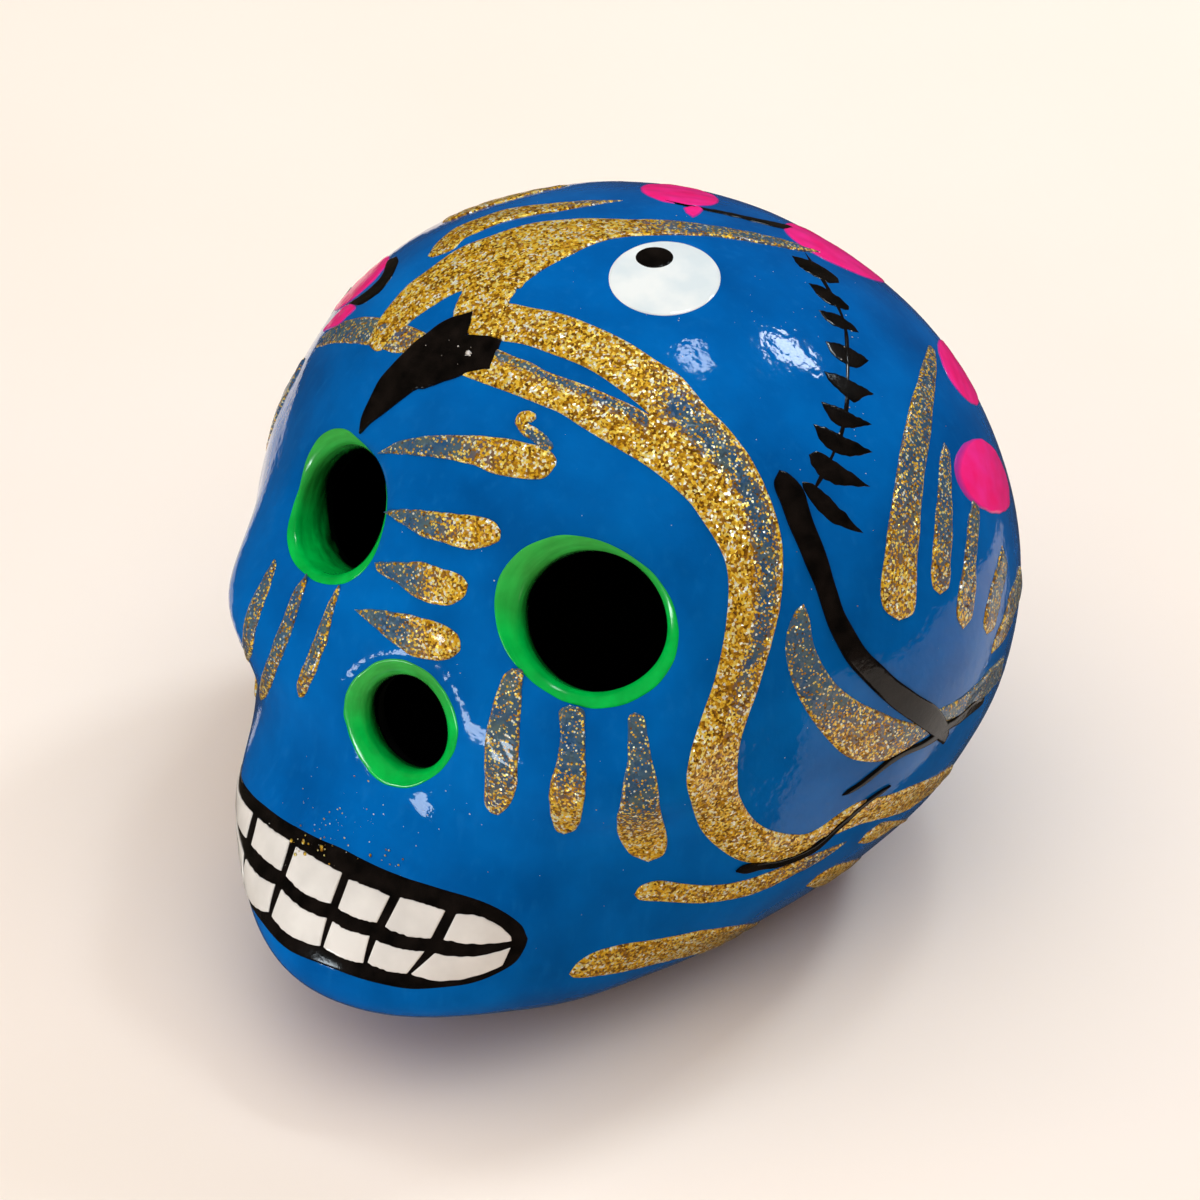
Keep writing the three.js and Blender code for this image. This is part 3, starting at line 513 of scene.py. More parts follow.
def linear(red, green, blue):
    """A colour given as it looks on a screen, in shares of 255, as the renderer's linear colour."""
    shares = np.array([red, green, blue]) / 255
    low = shares / 12.92
    return (*np.where(shares <= 0.04045, low, ((shares + 0.055) / 1.055) ** 2.4), 1.0)


def new_recipe(name):
    """An empty material and its node tree."""
    material = bpy.data.materials.new(name)
    material.use_nodes = True
    material.node_tree.nodes.clear()
    return material, material.node_tree


def add(tree, kind, inputs=None, **settings):
    """A node of one kind. Its inputs are numbers or other nodes' outputs."""
    node = tree.nodes.new("ShaderNode" + kind)
    for key, value in settings.items():
        setattr(node, key, value)
    for key, value in (inputs or {}).items():
        if isinstance(value, bpy.types.NodeSocket):
            tree.links.new(value, node.inputs[key])
        else:
            node.inputs[key].default_value = value
    return node


def worked(tree, operation, *values):
    """The outcome of a sum or a comparison of numbers."""
    return add(tree, "Math", dict(enumerate(values)), operation=operation).outputs[0]


def stored(tree, name, output="Fac"):
    """What a piece keeps for each point under a name."""
    return add(tree, "Attribute", attribute_name=name).outputs[output]


def spots(tree, size, detail=3.0, stretch=(1, 1, 1), vector=None):
    """Cloudy pattern from 0 to 1 whose patches are about the size, in millimetres."""
    place = vector or add(tree, "TexCoord").outputs["Object"]
    if stretch != (1, 1, 1):
        place = add(tree, "Mapping", {"Vector": place, "Scale": stretch}).outputs[0]
    inputs = {"Vector": place, "Scale": 1 / (size * METRES), "Detail": detail}
    return add(tree, "TexNoise", inputs).outputs["Fac"]


def ramp(tree, share, *stops):
    """Colours or greys at places from 0 to 1."""
    node = add(tree, "ValToRGB", {"Fac": share})
    elements = node.color_ramp.elements
    while len(elements) < len(stops):
        elements.new(0.5)
    for element, (place, colour) in zip(elements, stops):
        element.position = place
        element.color = colour if isinstance(colour, tuple) else (colour, colour, colour, 1)
    return node.outputs["Color"]


def mixed(tree, share, first, second):
    """Two colours mixed by a share."""
    return add(tree, "Mix", {0: share, 6: first, 7: second}, data_type="RGBA").outputs[2]


def dented(tree, share, depth, normal=None):
    """A normal tilted by a pattern of the given depth in millimetres."""
    inputs = {"Height": share, "Distance": depth * METRES, "Strength": 1.0}
    if normal:
        inputs["Normal"] = normal
    return add(tree, "Bump", inputs).outputs["Normal"]


def surfaced(material, tree, **inputs):
    """The finish of a material from its Principled inputs."""
    named = {key.replace("_", " ").title().replace("Ior", "IOR"): value for key, value in inputs.items()}
    shader = add(tree, "BsdfPrincipled", named)
    tree.links.new(shader.outputs[0], add(tree, "OutputMaterial").inputs["Surface"])
    return material


def blue_enamel():
    """Glossy blue enamel brushed on clay: cloudy, with brush grain and small bumps."""
    material, tree = new_recipe("blue enamel")
    cloud = ramp(
        tree,
        spots(tree, 14, 4),
        (0.3, linear(0, 80, 152)),
        (0.52, linear(0, 95, 175)),
        (0.75, linear(0, 109, 194)),
    )
    grain = spots(tree, 1.2, 3, stretch=(1, 1, 0.25))
    colour = mixed(tree, ramp(tree, grain, (0.55, 0.0), (0.8, 0.12)), cloud, linear(40, 136, 214))
    rough = ramp(tree, spots(tree, 5, 4), (0.3, 0.03), (0.7, 0.08))
    bump = dented(tree, spots(tree, 3.6, 2), 0.08)
    bump = dented(tree, spots(tree, 1.1, 2), 0.04, bump)
    return surfaced(material, tree, base_color=colour, roughness=rough, normal=bump, ior=1.28)


def painted_shade_hollow():
    """The inside of the clay, nearly black: painted shade."""
    material, tree = new_recipe("hollow painted shade")
    colour = ramp(tree, spots(tree, 3), (0.3, linear(8, 8, 9)), (0.7, linear(18, 17, 17)))
    return surfaced(material, tree, base_color=colour, roughness=0.9, specular_ior_level=0.1)


def green_enamel():
    """Green enamel brushed into a socket, with darker streaks. Deeper in the hole it turns black: painted
    shade in the recess, and the black where the brush missed the wall. One side of the lip has a pale
    painted reflection.
    """
    material, tree = new_recipe("green enamel")
    deep = stored(tree, "deep")
    streak = spots(tree, 0.9, 3, vector=stored(tree, "brushed", "Vector"))
    cloud = ramp(tree, spots(tree, 3, 3), (0.35, 0.0), (0.7, 1.0))
    green = mixed(tree, cloud, linear(0, 172, 66), linear(0, 200, 80))
    # Painted reflection: on one side the lip is paled to a dull green
    green = mixed(tree, worked(tree, "MULTIPLY", stored(tree, "painted_reflection"), 0.5), green, linear(84, 158, 72))
    # Painted shade: deeper in the hole the streaks darken and the green turns to black
    streaked = worked(tree, "MULTIPLY", ramp(tree, streak, (0.4, 0.0), (0.65, 0.7)), deep)
    green = mixed(tree, streaked, green, linear(0, 104, 32))
    shade = worked(tree, "MULTIPLY_ADD", streak, 0.25, deep)
    colour = mixed(tree, ramp(tree, shade, (0.62, 0.0), (1.0, 1.0)), green, linear(2, 5, 3))
    bump = dented(tree, streak, 0.05)
    return surfaced(material, tree, base_color=colour, roughness=0.16, normal=bump, specular_ior_level=0.5)


def black_enamel():
    """Glossy black enamel, brownish in patches."""
    material, tree = new_recipe("black enamel")
    colour = ramp(tree, spots(tree, 2.2, 4), (0.35, linear(6, 5, 5)), (0.75, linear(24, 19, 17)))
    bump = dented(tree, spots(tree, 0.9, 2), 0.03)
    return surfaced(material, tree, base_color=colour, roughness=0.16, normal=bump, specular_ior_level=0.3)


def white_enamel(name, low, high):
    """White enamel, faintly darker in places."""
    material, tree = new_recipe(name)
    colour = ramp(tree, spots(tree, 5, 3), (0.35, low), (0.65, high))
    bump = dented(tree, spots(tree, 2.2, 2), 0.03)
    return surfaced(material, tree, base_color=colour, roughness=0.12, normal=bump)


def pink_enamel():
    """Hot pink enamel, purple where the blue shows through at its thin edge."""
    material, tree = new_recipe("pink enamel")
    thin = stored(tree, "cover")
    colour = ramp(tree, spots(tree, 3, 3), (0.3, linear(255, 26, 128)), (0.7, linear(255, 46, 154)))
    colour = mixed(tree, ramp(tree, thin, (0.1, 0.75), (0.6, 0.0)), colour, linear(120, 60, 160))
    bump = dented(tree, spots(tree, 1.5, 2), 0.015)
    return surfaced(material, tree, base_color=colour, roughness=0.2, normal=bump, ior=1.35)


# Size of the cells that hold a flake of glitter each
FLAKE_SIZE = 0.29


def gold_glitter():
    """Gold flakes in clear lacquer: one flake to a cell, some cells empty so that the blue shows."""
    material, tree = new_recipe("gold glitter")
    place = add(tree, "TexCoord").outputs["Object"]
    cells = {"Vector": place, "Scale": 1 / (FLAKE_SIZE * METRES)}
    cell = add(tree, "TexVoronoi", cells, voronoi_dimensions="3D")
    chance = add(tree, "SeparateColor", {0: cell.outputs["Color"]}).outputs
    cover = stored(tree, "cover")
    chosen = worked(tree, "GREATER_THAN", cover, chance[0])
    reach = worked(tree, "MULTIPLY_ADD", cover, 0.75, 0.2)
    near = worked(tree, "GREATER_THAN", reach, cell.outputs["Distance"])
    present = worked(tree, "MULTIPLY", chosen, near)
    cluster = worked(tree, "MULTIPLY_ADD", spots(tree, 0.9, 2), 1.1, -0.55)
    bright = worked(tree, "ADD", chance[1], cluster)
    # Flake colours run from dark to pale gold; the near-white flakes at the top are painted glints
    flake = ramp(
        tree,
        bright,
        (0.0, linear(112, 70, 2)),
        (0.28, linear(198, 140, 12)),
        (0.48, linear(240, 184, 36)),
        (0.68, linear(255, 214, 70)),
        (0.84, linear(255, 238, 136)),
        (0.97, linear(255, 255, 240)),
    )
    bare = ramp(tree, spots(tree, 2.0, 3), (0.3, linear(20, 80, 130)), (0.7, linear(84, 104, 106)))
    between = mixed(tree, ramp(tree, cover, (0.5, 0.0), (0.9, 1.0)), bare, linear(146, 98, 16))
    colour = mixed(tree, present, between, flake)
    middle = {0: cell.outputs["Color"], 1: (0.5, 0.5, 0.5)}
    tilt = add(tree, "VectorMath", middle, operation="SUBTRACT").outputs[0]
    upright = add(tree, "NewGeometry").outputs["Normal"]
    normal = add(tree, "VectorMath", {0: upright, 1: tilt}, operation="ADD").outputs[0]
    normal = add(tree, "VectorMath", {0: normal}, operation="NORMALIZE").outputs[0]
    metal = worked(tree, "MULTIPLY", present, 0.3)
    return surfaced(
        material,
        tree,
        base_color=colour,
        metallic=metal,
        roughness=0.34,
        normal=normal,
        coat_weight=0.5,
        coat_roughness=0.05,
    )


BLUE, HOLLOW_SHADE, GREEN = blue_enamel(), painted_shade_hollow(), green_enamel()
WHITE = white_enamel("white enamel", linear(217, 214, 211), linear(230, 227, 224))
EYE_WHITE = white_enamel("cool white enamel", linear(222, 234, 240), linear(240, 246, 248))
BLACK, PINK, GOLD = black_enamel(), pink_enamel(), gold_glitter()
# Clay shell: how finely it is drawn, the depths of a socket's lip and hole, how deep inside the rays along
# a socket start, and how far a plug's lid stands above the skin and out past the lip
SHELL_TURNS, SHELL_RISES = 288, 192
HOLLOW_TURNS, HOLLOW_RISES = 120, 80
HOLE_TURNS = 144
LIP_DEPTH = 2.2
HOLE_DEPTH = 12.0
HOLE_START = 22
LID_HEIGHT, LID_MARGIN = 2.5, 0.7
SHARP_DEG = 35


def ball(turns, rises, field):
    """Closed grid of a form seen from the heart, by degrees of turn and of rise, with a point at each
    pole."""
    turn = np.linspace(-180, 180, turns, endpoint=False)
    rise = np.linspace(-90, 90, rises + 1)[1:-1]
    ways = turned(turn[None, :], rise[:, None])
    rows = first_crossing(field, HEART, ways)
    poles = first_crossing(field, HEART, np.array([[0, 0, -1.0], [0, 0, 1.0]]))
    points = np.concatenate([rows.reshape(-1, 3), poles])
    index = np.arange(rows.shape[0] * turns).reshape(rows.shape[:2])
    round_index = np.concatenate([index, index[:, :1]], 1)
    quads = grid_faces(round_index)[:, ::-1].tolist()
    low, high = len(points) - 2, len(points) - 1
    caps = [[low, b, a] for a, b in zip(round_index[0, :-1].tolist(), round_index[0, 1:].tolist())]
    caps += [[high, a, b] for a, b in zip(round_index[-1, :-1].tolist(), round_index[-1, 1:].tolist())]
    return points, facing_out(points - HEART, quads + caps)


def hollow_form(p):
    """The hollow: the plain form a wall's thickness in, and as far above the base."""
    return np.maximum(plain_form(p) + WALL, WALL - p[..., 2])


def hole_points(socket, radius, depth, around):
    """Points round a socket: at a radius from its axis, and at a depth along it below the skin there.
    Rows go round, columns follow the radius and depth."""
    spoke = socket["across"] * np.cos(around)[..., None] + socket["up"] * np.sin(around)[..., None]
    start = socket["middle"] - socket["out"] * HOLE_START + spoke * radius[..., None]
    out = np.broadcast_to(socket["out"], start.shape)
    skin = first_crossing(skin_form, start, out, reach=40.0, steps=26)
    return skin - socket["out"] * depth[..., None]


def lip(socket, radius):
    """Depth of the rounded lip at radii outside the hole's wall: a quadratic curve whose middle control
    point is where the skin would meet the wall."""
    share = 1 - np.sqrt(np.clip((radius - socket["hole"]) / socket["lip"], 0, 1))
    return LIP_DEPTH * share**2


# Rings of a plug's rounded lip, and how far off its radius a face of the wall may lie
LIP_RINGS, WALL_SLACK = 9, 0.001


def plug(name, socket):
    """Closed plug that opens a socket: a lid above the skin, the rounded lip, and a straight wall."""
    hole = socket["hole"]
    wide = hole + socket["lip"]
    lip_radius = hole + socket["lip"] * np.linspace(1, 0, LIP_RINGS) ** 2
    radius = np.concatenate([[0, wide * 0.5, wide + LID_MARGIN], lip_radius, [hole, hole * 0.5, 0]])
    depth = np.concatenate([[-LID_HEIGHT] * 3, lip(socket, lip_radius), [HOLE_DEPTH] * 3])
    around = np.linspace(0, 2 * math.pi, HOLE_TURNS + 1)
    rows = hole_points(socket, *np.broadcast_arrays(radius, depth, around[:, None]))
    number = np.arange(rows.size // 3).reshape(rows.shape[:2])
    kept, faces = weld(rows.reshape(-1, 3), grid_faces(number))
    points = rows.reshape(-1, 3)[kept]
    faces = facing_out(points - socket["middle"], faces)
    piece = new_piece(name, points, faces, BLUE, HOLLOW_SHADE)
    away = np.array([points[face].mean(0) for face in faces]) - socket["middle"]
    off_axis = np.linalg.norm(away - (away @ socket["out"])[:, None] * socket["out"], axis=1)
    # Faces on the hole's wall take the second material, the near-black painted shade
    inner = off_axis < hole * math.cos(math.pi / HOLE_TURNS) + WALL_SLACK
    piece.data.polygons.foreach_set("material_index", inner.astype(np.int32))
    return piece


def clay_shell():
    """The clay: the skin's ball less the hollow's ball and the three plugs."""
    points, faces = ball(SHELL_TURNS, SHELL_RISES, skin_form)
    clay = new_piece("clay_shell", points, faces, BLUE)
    points, faces = ball(HOLLOW_TURNS, HOLLOW_RISES, hollow_form)
    tools = [new_piece("hollow", points, faces, HOLLOW_SHADE)]
    tools += [plug(name + "_plug", socket) for name, socket in SOCKETS.items()]
    for tool in tools:
        cut = clay.modifiers.new(tool.name, "BOOLEAN")
        cut.operation, cut.object, cut.solver, cut.material_mode = "DIFFERENCE", tool, "MANIFOLD", "TRANSFER"
    finished = bpy.data.meshes.new_from_object(clay.evaluated_get(bpy.context.evaluated_depsgraph_get()))
    clay.modifiers.clear()
    clay.data = finished
    for tool in tools:
        bpy.data.objects.remove(tool)
    finished.set_sharp_from_angle(angle=math.radians(SHARP_DEG))
    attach(clay, "root")
    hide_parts("face_half", "back_half")


# Socket linings: columns from rim to depth and their shares on the lip and on the wall, how far the paint
# stands off the clay, how deep its border and its back lie, and where round a hole a painted reflection
# pales it
LINING_COLUMNS, LIP_SHARE, WALL_SHARE = 40, 0.55, 0.45
PAINT_THICK, PAINT_BORDER_DEPTH, BACK_DEPTH = 0.14, 0.02, 0.25
PAINTED_REFLECTION_DEG = 115
# Sines of the ragged rim and their size, and how fast the lip's columns and a narrowed side close in
RAGGED_SINES, RAGGED_SIZE = range(5, 24), 0.1
LIP_POWER, CLOSING_POWER = 1.6, 1.5
# Waves of the rim's traced outline
RIM_WAVES = 4
# How fast the paint rises from either end of its columns and the width of that edge, how fast the
# brush marks change round the hole, where the side with the painted reflection starts and is full, and
# how much nearer the rim the painted shade in the hole starts on that side
LINING_RISE, LINING_EDGE = 9, 0.5
BRUSH_PACE = 1.6
PAINTED_REFLECTION_START, PAINTED_REFLECTION_FULL, PAINTED_SHADE_DEPTH = -0.2, 0.9, 0.22


def harmonic(angles, values, waves):
    """The smooth closed curve of a few waves that comes nearest to values at angles."""

    def terms(angle):
        n = np.arange(1, waves + 1)
        turns = np.asarray(angle)[..., None] * n
        return np.concatenate([np.ones((*np.shape(angle), 1)), np.cos(turns), np.sin(turns)], -1)

    weights = np.linalg.lstsq(terms(angles), values, rcond=None)[0]
    return lambda angle: terms(angle) @ weights


def rim_radius(socket):
    """Radius of the green paint's outer edge for each angle round the hole."""
    away = on_skin(from_chart(seen_at(socket["rim_px"])))[0] - socket["middle"]
    across, up = away @ socket["across"], away @ socket["up"]
    return harmonic(np.arctan2(up, across), np.hypot(across, up), RIM_WAVES)


def lining(name, seed):
    """Green coat from its brushed edge on the skin, over the lip and down the wall of a hole, which may
    close in on one side. It is a closed sheet: the front stands off the clay, the back lies in it."""
    socket = SOCKETS[name]
    around = np.linspace(0, 2 * math.pi, HOLE_TURNS * 2 + 1)[:, None]
    own = np.random.default_rng(seed)
    ragged = sum(
        RAGGED_SIZE / n * own.normal() * np.sin(n * around + own.uniform(0, 6)) for n in RAGGED_SINES
    )
    rim = rim_radius(socket)(around[:, 0])[:, None] + ragged
    hole, wall = socket["hole"], socket["wall"]
    down = np.linspace(0, 1, LINING_COLUMNS)[None]
    over = np.clip(down / LIP_SHARE, 0, 1)
    below = np.clip((down - LIP_SHARE) / WALL_SHARE, 0, 1)
    radius = hole + (rim - hole) * (1 - over) ** LIP_POWER
    depth = lip(socket, radius) + below * (wall - LIP_DEPTH)
    toward = np.clip(np.cos(around - math.radians(socket["toward_deg"])), 0, 1) ** CLOSING_POWER
    narrowed = radius - socket["closing"] * toward * below
    from_end = np.minimum(down, 1 - down) * LINING_RISE
    thick = PAINT_THICK * crowned(from_end, LINING_EDGE) - PAINT_BORDER_DEPTH
    front, back = (
        hole_points(socket, *np.broadcast_arrays(radii - off * over, depth - off * (1 - over), around))
        for radii, off in ((narrowed, thick), (radius, -BACK_DEPTH))
    )
    back[:, 0], back[:, -1] = front[:, 0], front[:, -1]
    number = np.arange(front.size // 3).reshape(front.shape[:2])
    points = np.concatenate([front.reshape(-1, 3), back.reshape(-1, 3)])
    quads = np.concatenate([grid_faces(number), grid_faces(number + number.size)[:, ::-1]])
    kept, faces = weld(points, quads)
    points = points[kept]
    piece = new_piece(name + "_lining", points, facing_out(points - points.mean(0), faces), GREEN)
    round_way = np.stack([np.cos(around) * BRUSH_PACE, np.sin(around) * BRUSH_PACE, 0 * around], -1)
    brushed = (round_way + np.array([0, 0, 1.0]) * (depth - radius)[..., None]) * METRES
    # On one side the lip gets a painted reflection, and the painted shade in the hole starts nearer the rim
    high = smooth_step(PAINTED_REFLECTION_START, PAINTED_REFLECTION_FULL, np.cos(around - math.radians(PAINTED_REFLECTION_DEG)))
    values = {"deep": depth / wall + PAINTED_SHADE_DEPTH * high, "painted_reflection": high * (1 - below), "brushed": brushed}
    for key, value in values.items():
        size = value.shape[2:]
        flat = np.broadcast_to(value, (*number.shape, *size)).reshape(number.size, *size)
        store(piece, key, np.concatenate([flat, flat])[kept])
    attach(piece, "root")
    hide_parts(name + "_lining")


clay_shell()
for number, name in enumerate(SOCKETS):
    lining(name, 20 + number)


# Edges of the painted strokes, traced as pixels of the photograph, from one end to the other
BRIDGE_DROPS_PX = [
    (
        [(377, 453.5), (399.5, 440.7), (432.7, 435.7), (465.8, 434.9), (499, 437.4), (527.2, 442.3),
         (545.4, 447.3), (556.2, 458.9), (556, 465)],
        [(377, 453.5), (416, 455.6), (449.2, 459.8), (474.1, 465.6), (499, 475.5), (528.8, 479.7),
         (545.4, 477.2), (556, 465)],
    ),
    (
        [(383, 511.8), (402.2, 509), (440.5, 511.8), (478.7, 516.6), (494, 521.4), (501, 531)],
        [(383, 511.8), (402.2, 524.3), (425.2, 537.7), (450, 545.3), (474.9, 549.1), (497.9, 542.4),
         (501, 531)],
    ),
    (
        [(374.4, 562.5), (392.6, 561.6), (421.3, 562.5), (446.2, 569.2), (462.4, 576.9), (468.2, 584.5)],
        [(374.4, 562.5), (379.2, 573), (398.4, 584.5), (417.5, 598.9), (436.6, 604.6), (450, 605.6),
         (464.4, 596), (468.2, 584.5)],
    ),
    (
        [(354.3, 609.4), (375.4, 609.4), (407.9, 614.2), (438.5, 622.8), (455.7, 632.4), (460.5, 641.9)],
        [(354.3, 609.4), (362, 617), (373.5, 626.6), (392.6, 642.9), (411.7, 655.3), (430.9, 660.7),
         (448.1, 659.1), (459.6, 651.5), (460.5, 641.9)],
    ),
]
RIGHT_CHEEK_DROPS_PX = [
    (
        [(275, 558.7), (266.3, 573), (251, 601.7), (243.4, 630.4), (243.4, 645.7), (247.2, 663)],
        [(275, 558.7), (275.9, 567.3), (268.3, 592.2), (258.7, 620.9), (252, 653.4), (247.2, 663)],
    ),
    (
        [(306.5, 573), (293.1, 592.2), (279.7, 626.6), (268.3, 657.2), (260.6, 687.8), (261, 701)],
        [(306.5, 573), (305.6, 582.6), (297, 615.1), (285.5, 649.6), (274, 678.3), (266, 697), (261, 701)],
    ),
    (
        [(339, 584.5), (329.5, 599.8), (319.9, 624.7), (306.5, 657.2), (297, 684), (299, 697)],
        [(339, 584.5), (339.4, 590.3), (333.3, 613.2), (325.7, 645.7), (314.2, 676.4), (303.7, 696.5),
         (299, 697)],
    ),
]
LEFT_CHEEK_DROPS_PX = [
    (
        [(512.3, 668.3), (503.2, 675.8), (493.3, 702.3), (485, 740.4), (484.7, 783), (484.7, 803.6),
         (490, 812), (498.4, 815)],
        [(512.3, 668.3), (522.3, 670.8), (521.5, 699), (519.8, 732.1), (518, 760), (516.8, 787.5),
         (508.8, 806), (498.4, 815)],
    ),
    (
        [(569.5, 704.8), (558.8, 710.6), (560.4, 723.9), (557.1, 760), (550.3, 780), (549.2, 803),
         (555, 829), (564.1, 834)],
        [(569.5, 704.8), (583.6, 710.6), (585.3, 732), (585.3, 760), (585.9, 780), (583.6, 807.5),
         (576.7, 828.2), (564.1, 834)],
    ),
    (
        [(634.2, 712.2), (628.4, 717.2), (627.6, 732.1), (627.6, 760), (622.6, 784.6), (616.9, 819),
         (619.2, 837.4), (629.5, 853.5), (648, 862)],
        [(634.2, 712.2), (644.1, 717.2), (647.5, 735.5), (652.4, 760), (657.1, 780), (660.5, 807.5),
         (667.4, 839.7), (664, 853.5), (648, 862)],
    ),
]
LOWER_JAW_STROKE_PX = (
    [(568.7, 974), (579, 961.4), (599.7, 949.9), (624.9, 943.5), (668.6, 937.3), (709.9, 929.2),
     (742, 924.6), (760.4, 921.2)],
    [(568.7, 974), (574.4, 977.4), (592.8, 976.3), (615.8, 972.8), (650.2, 964.8), (686.9, 955.6),
     (721.4, 944.1), (742, 931.5), (760.4, 921.2)],
)
UPPER_JAW_STROKE_PX = (
    [(634, 894.8), (641, 885.6), (659.4, 880.6), (686.9, 883.8), (714.5, 885.1), (742, 881),
     (769.6, 871.8), (792.5, 862.6), (815.5, 853.5), (847, 841)],
    [(634, 894.8), (641, 900.5), (668.6, 901.7), (700.7, 902.8), (728.2, 899.8), (755.8, 892.5),
     (781, 881), (804, 868.4), (827, 855.8), (847, 841)],
)
SWIRL_OUTER_PX = [
    (462, 318), (478, 304), (508.7, 303.5), (531, 307.8), (559, 313.2), (595.9, 326.2), (628.4, 341.4),
    (654.4, 358.8), (680.5, 376.1), (706.5, 406.5), (728.2, 428.1), (749.8, 456.3), (767.2, 491),
    (780.2, 532.2), (783, 569), (779, 612), (759, 685), (740, 742), (737.4, 780), (739.7, 796),
    (753.5, 819), (771.9, 830.5), (803.4, 834.3), (820.7, 826.8), (842.4, 811.6), (861.9, 800.7),
    (890, 794.2), (911.8, 785.5), (933.5, 776.9), (953, 763.9),
]
SWIRL_GAP_UPPER_PX = [
    (470, 340), (488, 338.5), (502.3, 341.2), (523.8, 344.5), (552.5, 354.4), (585, 367.4), (606.7, 380.5),
    (632.7, 400), (650.1, 415.1),
]
SWIRL_GAP_LOWER_PX = [
    (468, 346), (486, 346), (499, 349.5), (513.9, 356.1), (532.1, 362.8), (548.2, 371.8), (585, 384.8),
    (611, 395.6), (634.9, 406.5), (650.1, 415.1),
]
SWIRL_INNER_PX = [
    (448, 369), (465.8, 376.8), (487.4, 385.1), (515.6, 395.9), (540.4, 405.9), (560, 414.2), (585, 430.3),
    (617.6, 449.8), (650.1, 469.3), (687.3, 500), (702.2, 519.9), (715.5, 539.8), (725.4, 561.3),
    (728.7, 582.9), (727.1, 616.1), (722.1, 649.2), (713.8, 682.4), (702.2, 715.6), (690.6, 752),
    (686.2, 780), (689.2, 798.4), (700.7, 830.5), (719.1, 848.9), (739.7, 860.3), (760.4, 862.6),
    (781, 859.2), (804, 851.2), (820, 838.5), (835.9, 833.3), (857.6, 824.6), (881.5, 818.1),
    (907.5, 809.4), (924.8, 796.4), (953, 773),
]
CROWN_ARC_PX = (
    [(370.5, 347), (368.4, 340.5), (379.5, 319.8), (393.3, 300.9), (410.5, 283.7), (438.1, 263),
     (462.2, 247.5), (488, 237.2), (513.9, 228.6), (531.8, 224.1), (562.4, 220), (593.1, 219),
     (623.7, 219.6), (654.3, 220), (684.9, 222), (715.1, 226.5), (758.5, 234.1), (791, 242.8),
     (823.6, 254)],
    [(370.5, 347), (376, 351), (383, 349.1), (393.3, 338.8), (410.5, 321.5), (432.9, 306), (459.6, 291.4),
     (488, 285), (519, 288.8), (525.7, 282.2), (546.1, 268), (570.6, 255.7), (595.1, 244.5),
     (623.7, 237.3), (664.5, 234.9), (705.3, 236.3), (735.9, 239.4), (769.3, 244.9), (801.9, 251.4),
     (823.6, 254)],
)
ARC_LINK_PX = (
    [(452, 282), (461, 292), (456, 305), (453, 315), (456, 334)],
    [(530, 276), (519, 287), (510, 301), (508, 314), (500, 334)],
)
SWIRL_TAIL_PX = (
    [(315.8, 348.2), (324.4, 335.3), (338.2, 325), (355.4, 318.1), (381.3, 317.2), (408.8, 325.8),
     (428, 334)],
    [(315.8, 348.2), (333, 343.9), (350.3, 343.1), (369.2, 345.7), (384.7, 350.8), (397.6, 353.4),
     (418, 352)],
)
CROWN_STROKE_PX = (
    [(427.8, 256.1), (436.4, 244), (453.6, 230.3), (479.4, 219.1), (505.3, 210.5), (531.1, 206.2),
     (560, 203.6), (623.7, 200.6)],
    [(427.8, 256.1), (432.9, 257), (453.6, 249.2), (463.9, 238.9), (479.4, 232), (505.3, 221.7),
     (531.1, 215.6), (560, 211.3), (623.7, 200.6)],
)
# The second crown stroke lies on the outline, so its edges are in chart degrees
CROWN_STROKE_DEG = (
    [(-30.5, 76.0), (-28.6, 79.4), (-24.5, 81.2), (-19.5, 82.2), (-14.5, 83.2), (-7.0, 84.0)],
    [(-30.5, 76.0), (-28.1, 74.3), (-24.5, 75.0), (-20.5, 76.8), (-16.5, 78.6), (-7.0, 84.0)],
)
EYEBROW_PX = (
    [(359.4, 434), (362, 420), (366.3, 406.3), (381.6, 379), (402, 355), (426, 334.5), (450, 319),
     (463, 314.5), (474.8, 311.3)],
    [(359.4, 434), (371.4, 423.4), (391.9, 408), (415.8, 389.2), (439.7, 376), (455, 356), (466, 338),
     (472.5, 324), (474.8, 311.3)],
)
EYEBROW_PRONG_PX = (
    [(410, 380), (432, 355), (452, 342), (466.6, 335.8), (481, 335.5), (493, 337), (502, 340)],
    [(410, 392), (427, 388), (444.9, 381.8), (464.2, 375.1), (478, 372), (490.8, 370.3)],
)
CRESCENT_PX = (
    [(803.4, 603.4), (794.7, 612), (786, 638.1), (787.1, 664.1), (796.9, 694.5), (812, 720.5),
     (831.6, 744.3), (851.1, 758.4), (872.8, 761.7), (890.1, 758.4), (918, 741), (944.3, 722.7),
     (966, 711.8), (987.7, 692.3), (998.6, 677.1), (1004, 655)],
    [(803.4, 603.4), (808.8, 616.4), (814.2, 644.6), (825.1, 668.4), (840.2, 688), (859.8, 702.1),
     (881.5, 711.8), (901, 720.5), (918, 722), (936.8, 710.7), (955.2, 701), (976.9, 683.6),
     (989.9, 668.4), (1004, 655)],
)
SWEEP_PX = (
    [(779, 470), (773.3, 484.9), (782.4, 509.4), (803.4, 560), (813.1, 581.7), (822.9, 609.9),
     (833.7, 640.2), (851.1, 668.4), (872.8, 690.1), (894.5, 709.6), (927, 733.5), (942, 744)],
    [(779, 470), (788, 473), (800.8, 486.9), (810, 511.4), (828.3, 560), (835.9, 586), (846.7, 616.4),
     (864.1, 646.7), (890.1, 672.8), (916.1, 692.3), (940, 709.6), (948, 730), (942, 744)],
)
# Where the right sweep starts, lower than the left one, for none of it shows from the front, and how many
# points of the left one's edges it leaves out
SWEEP_START_PX = (822, 574)
SWEEP_SKIPPED = 5
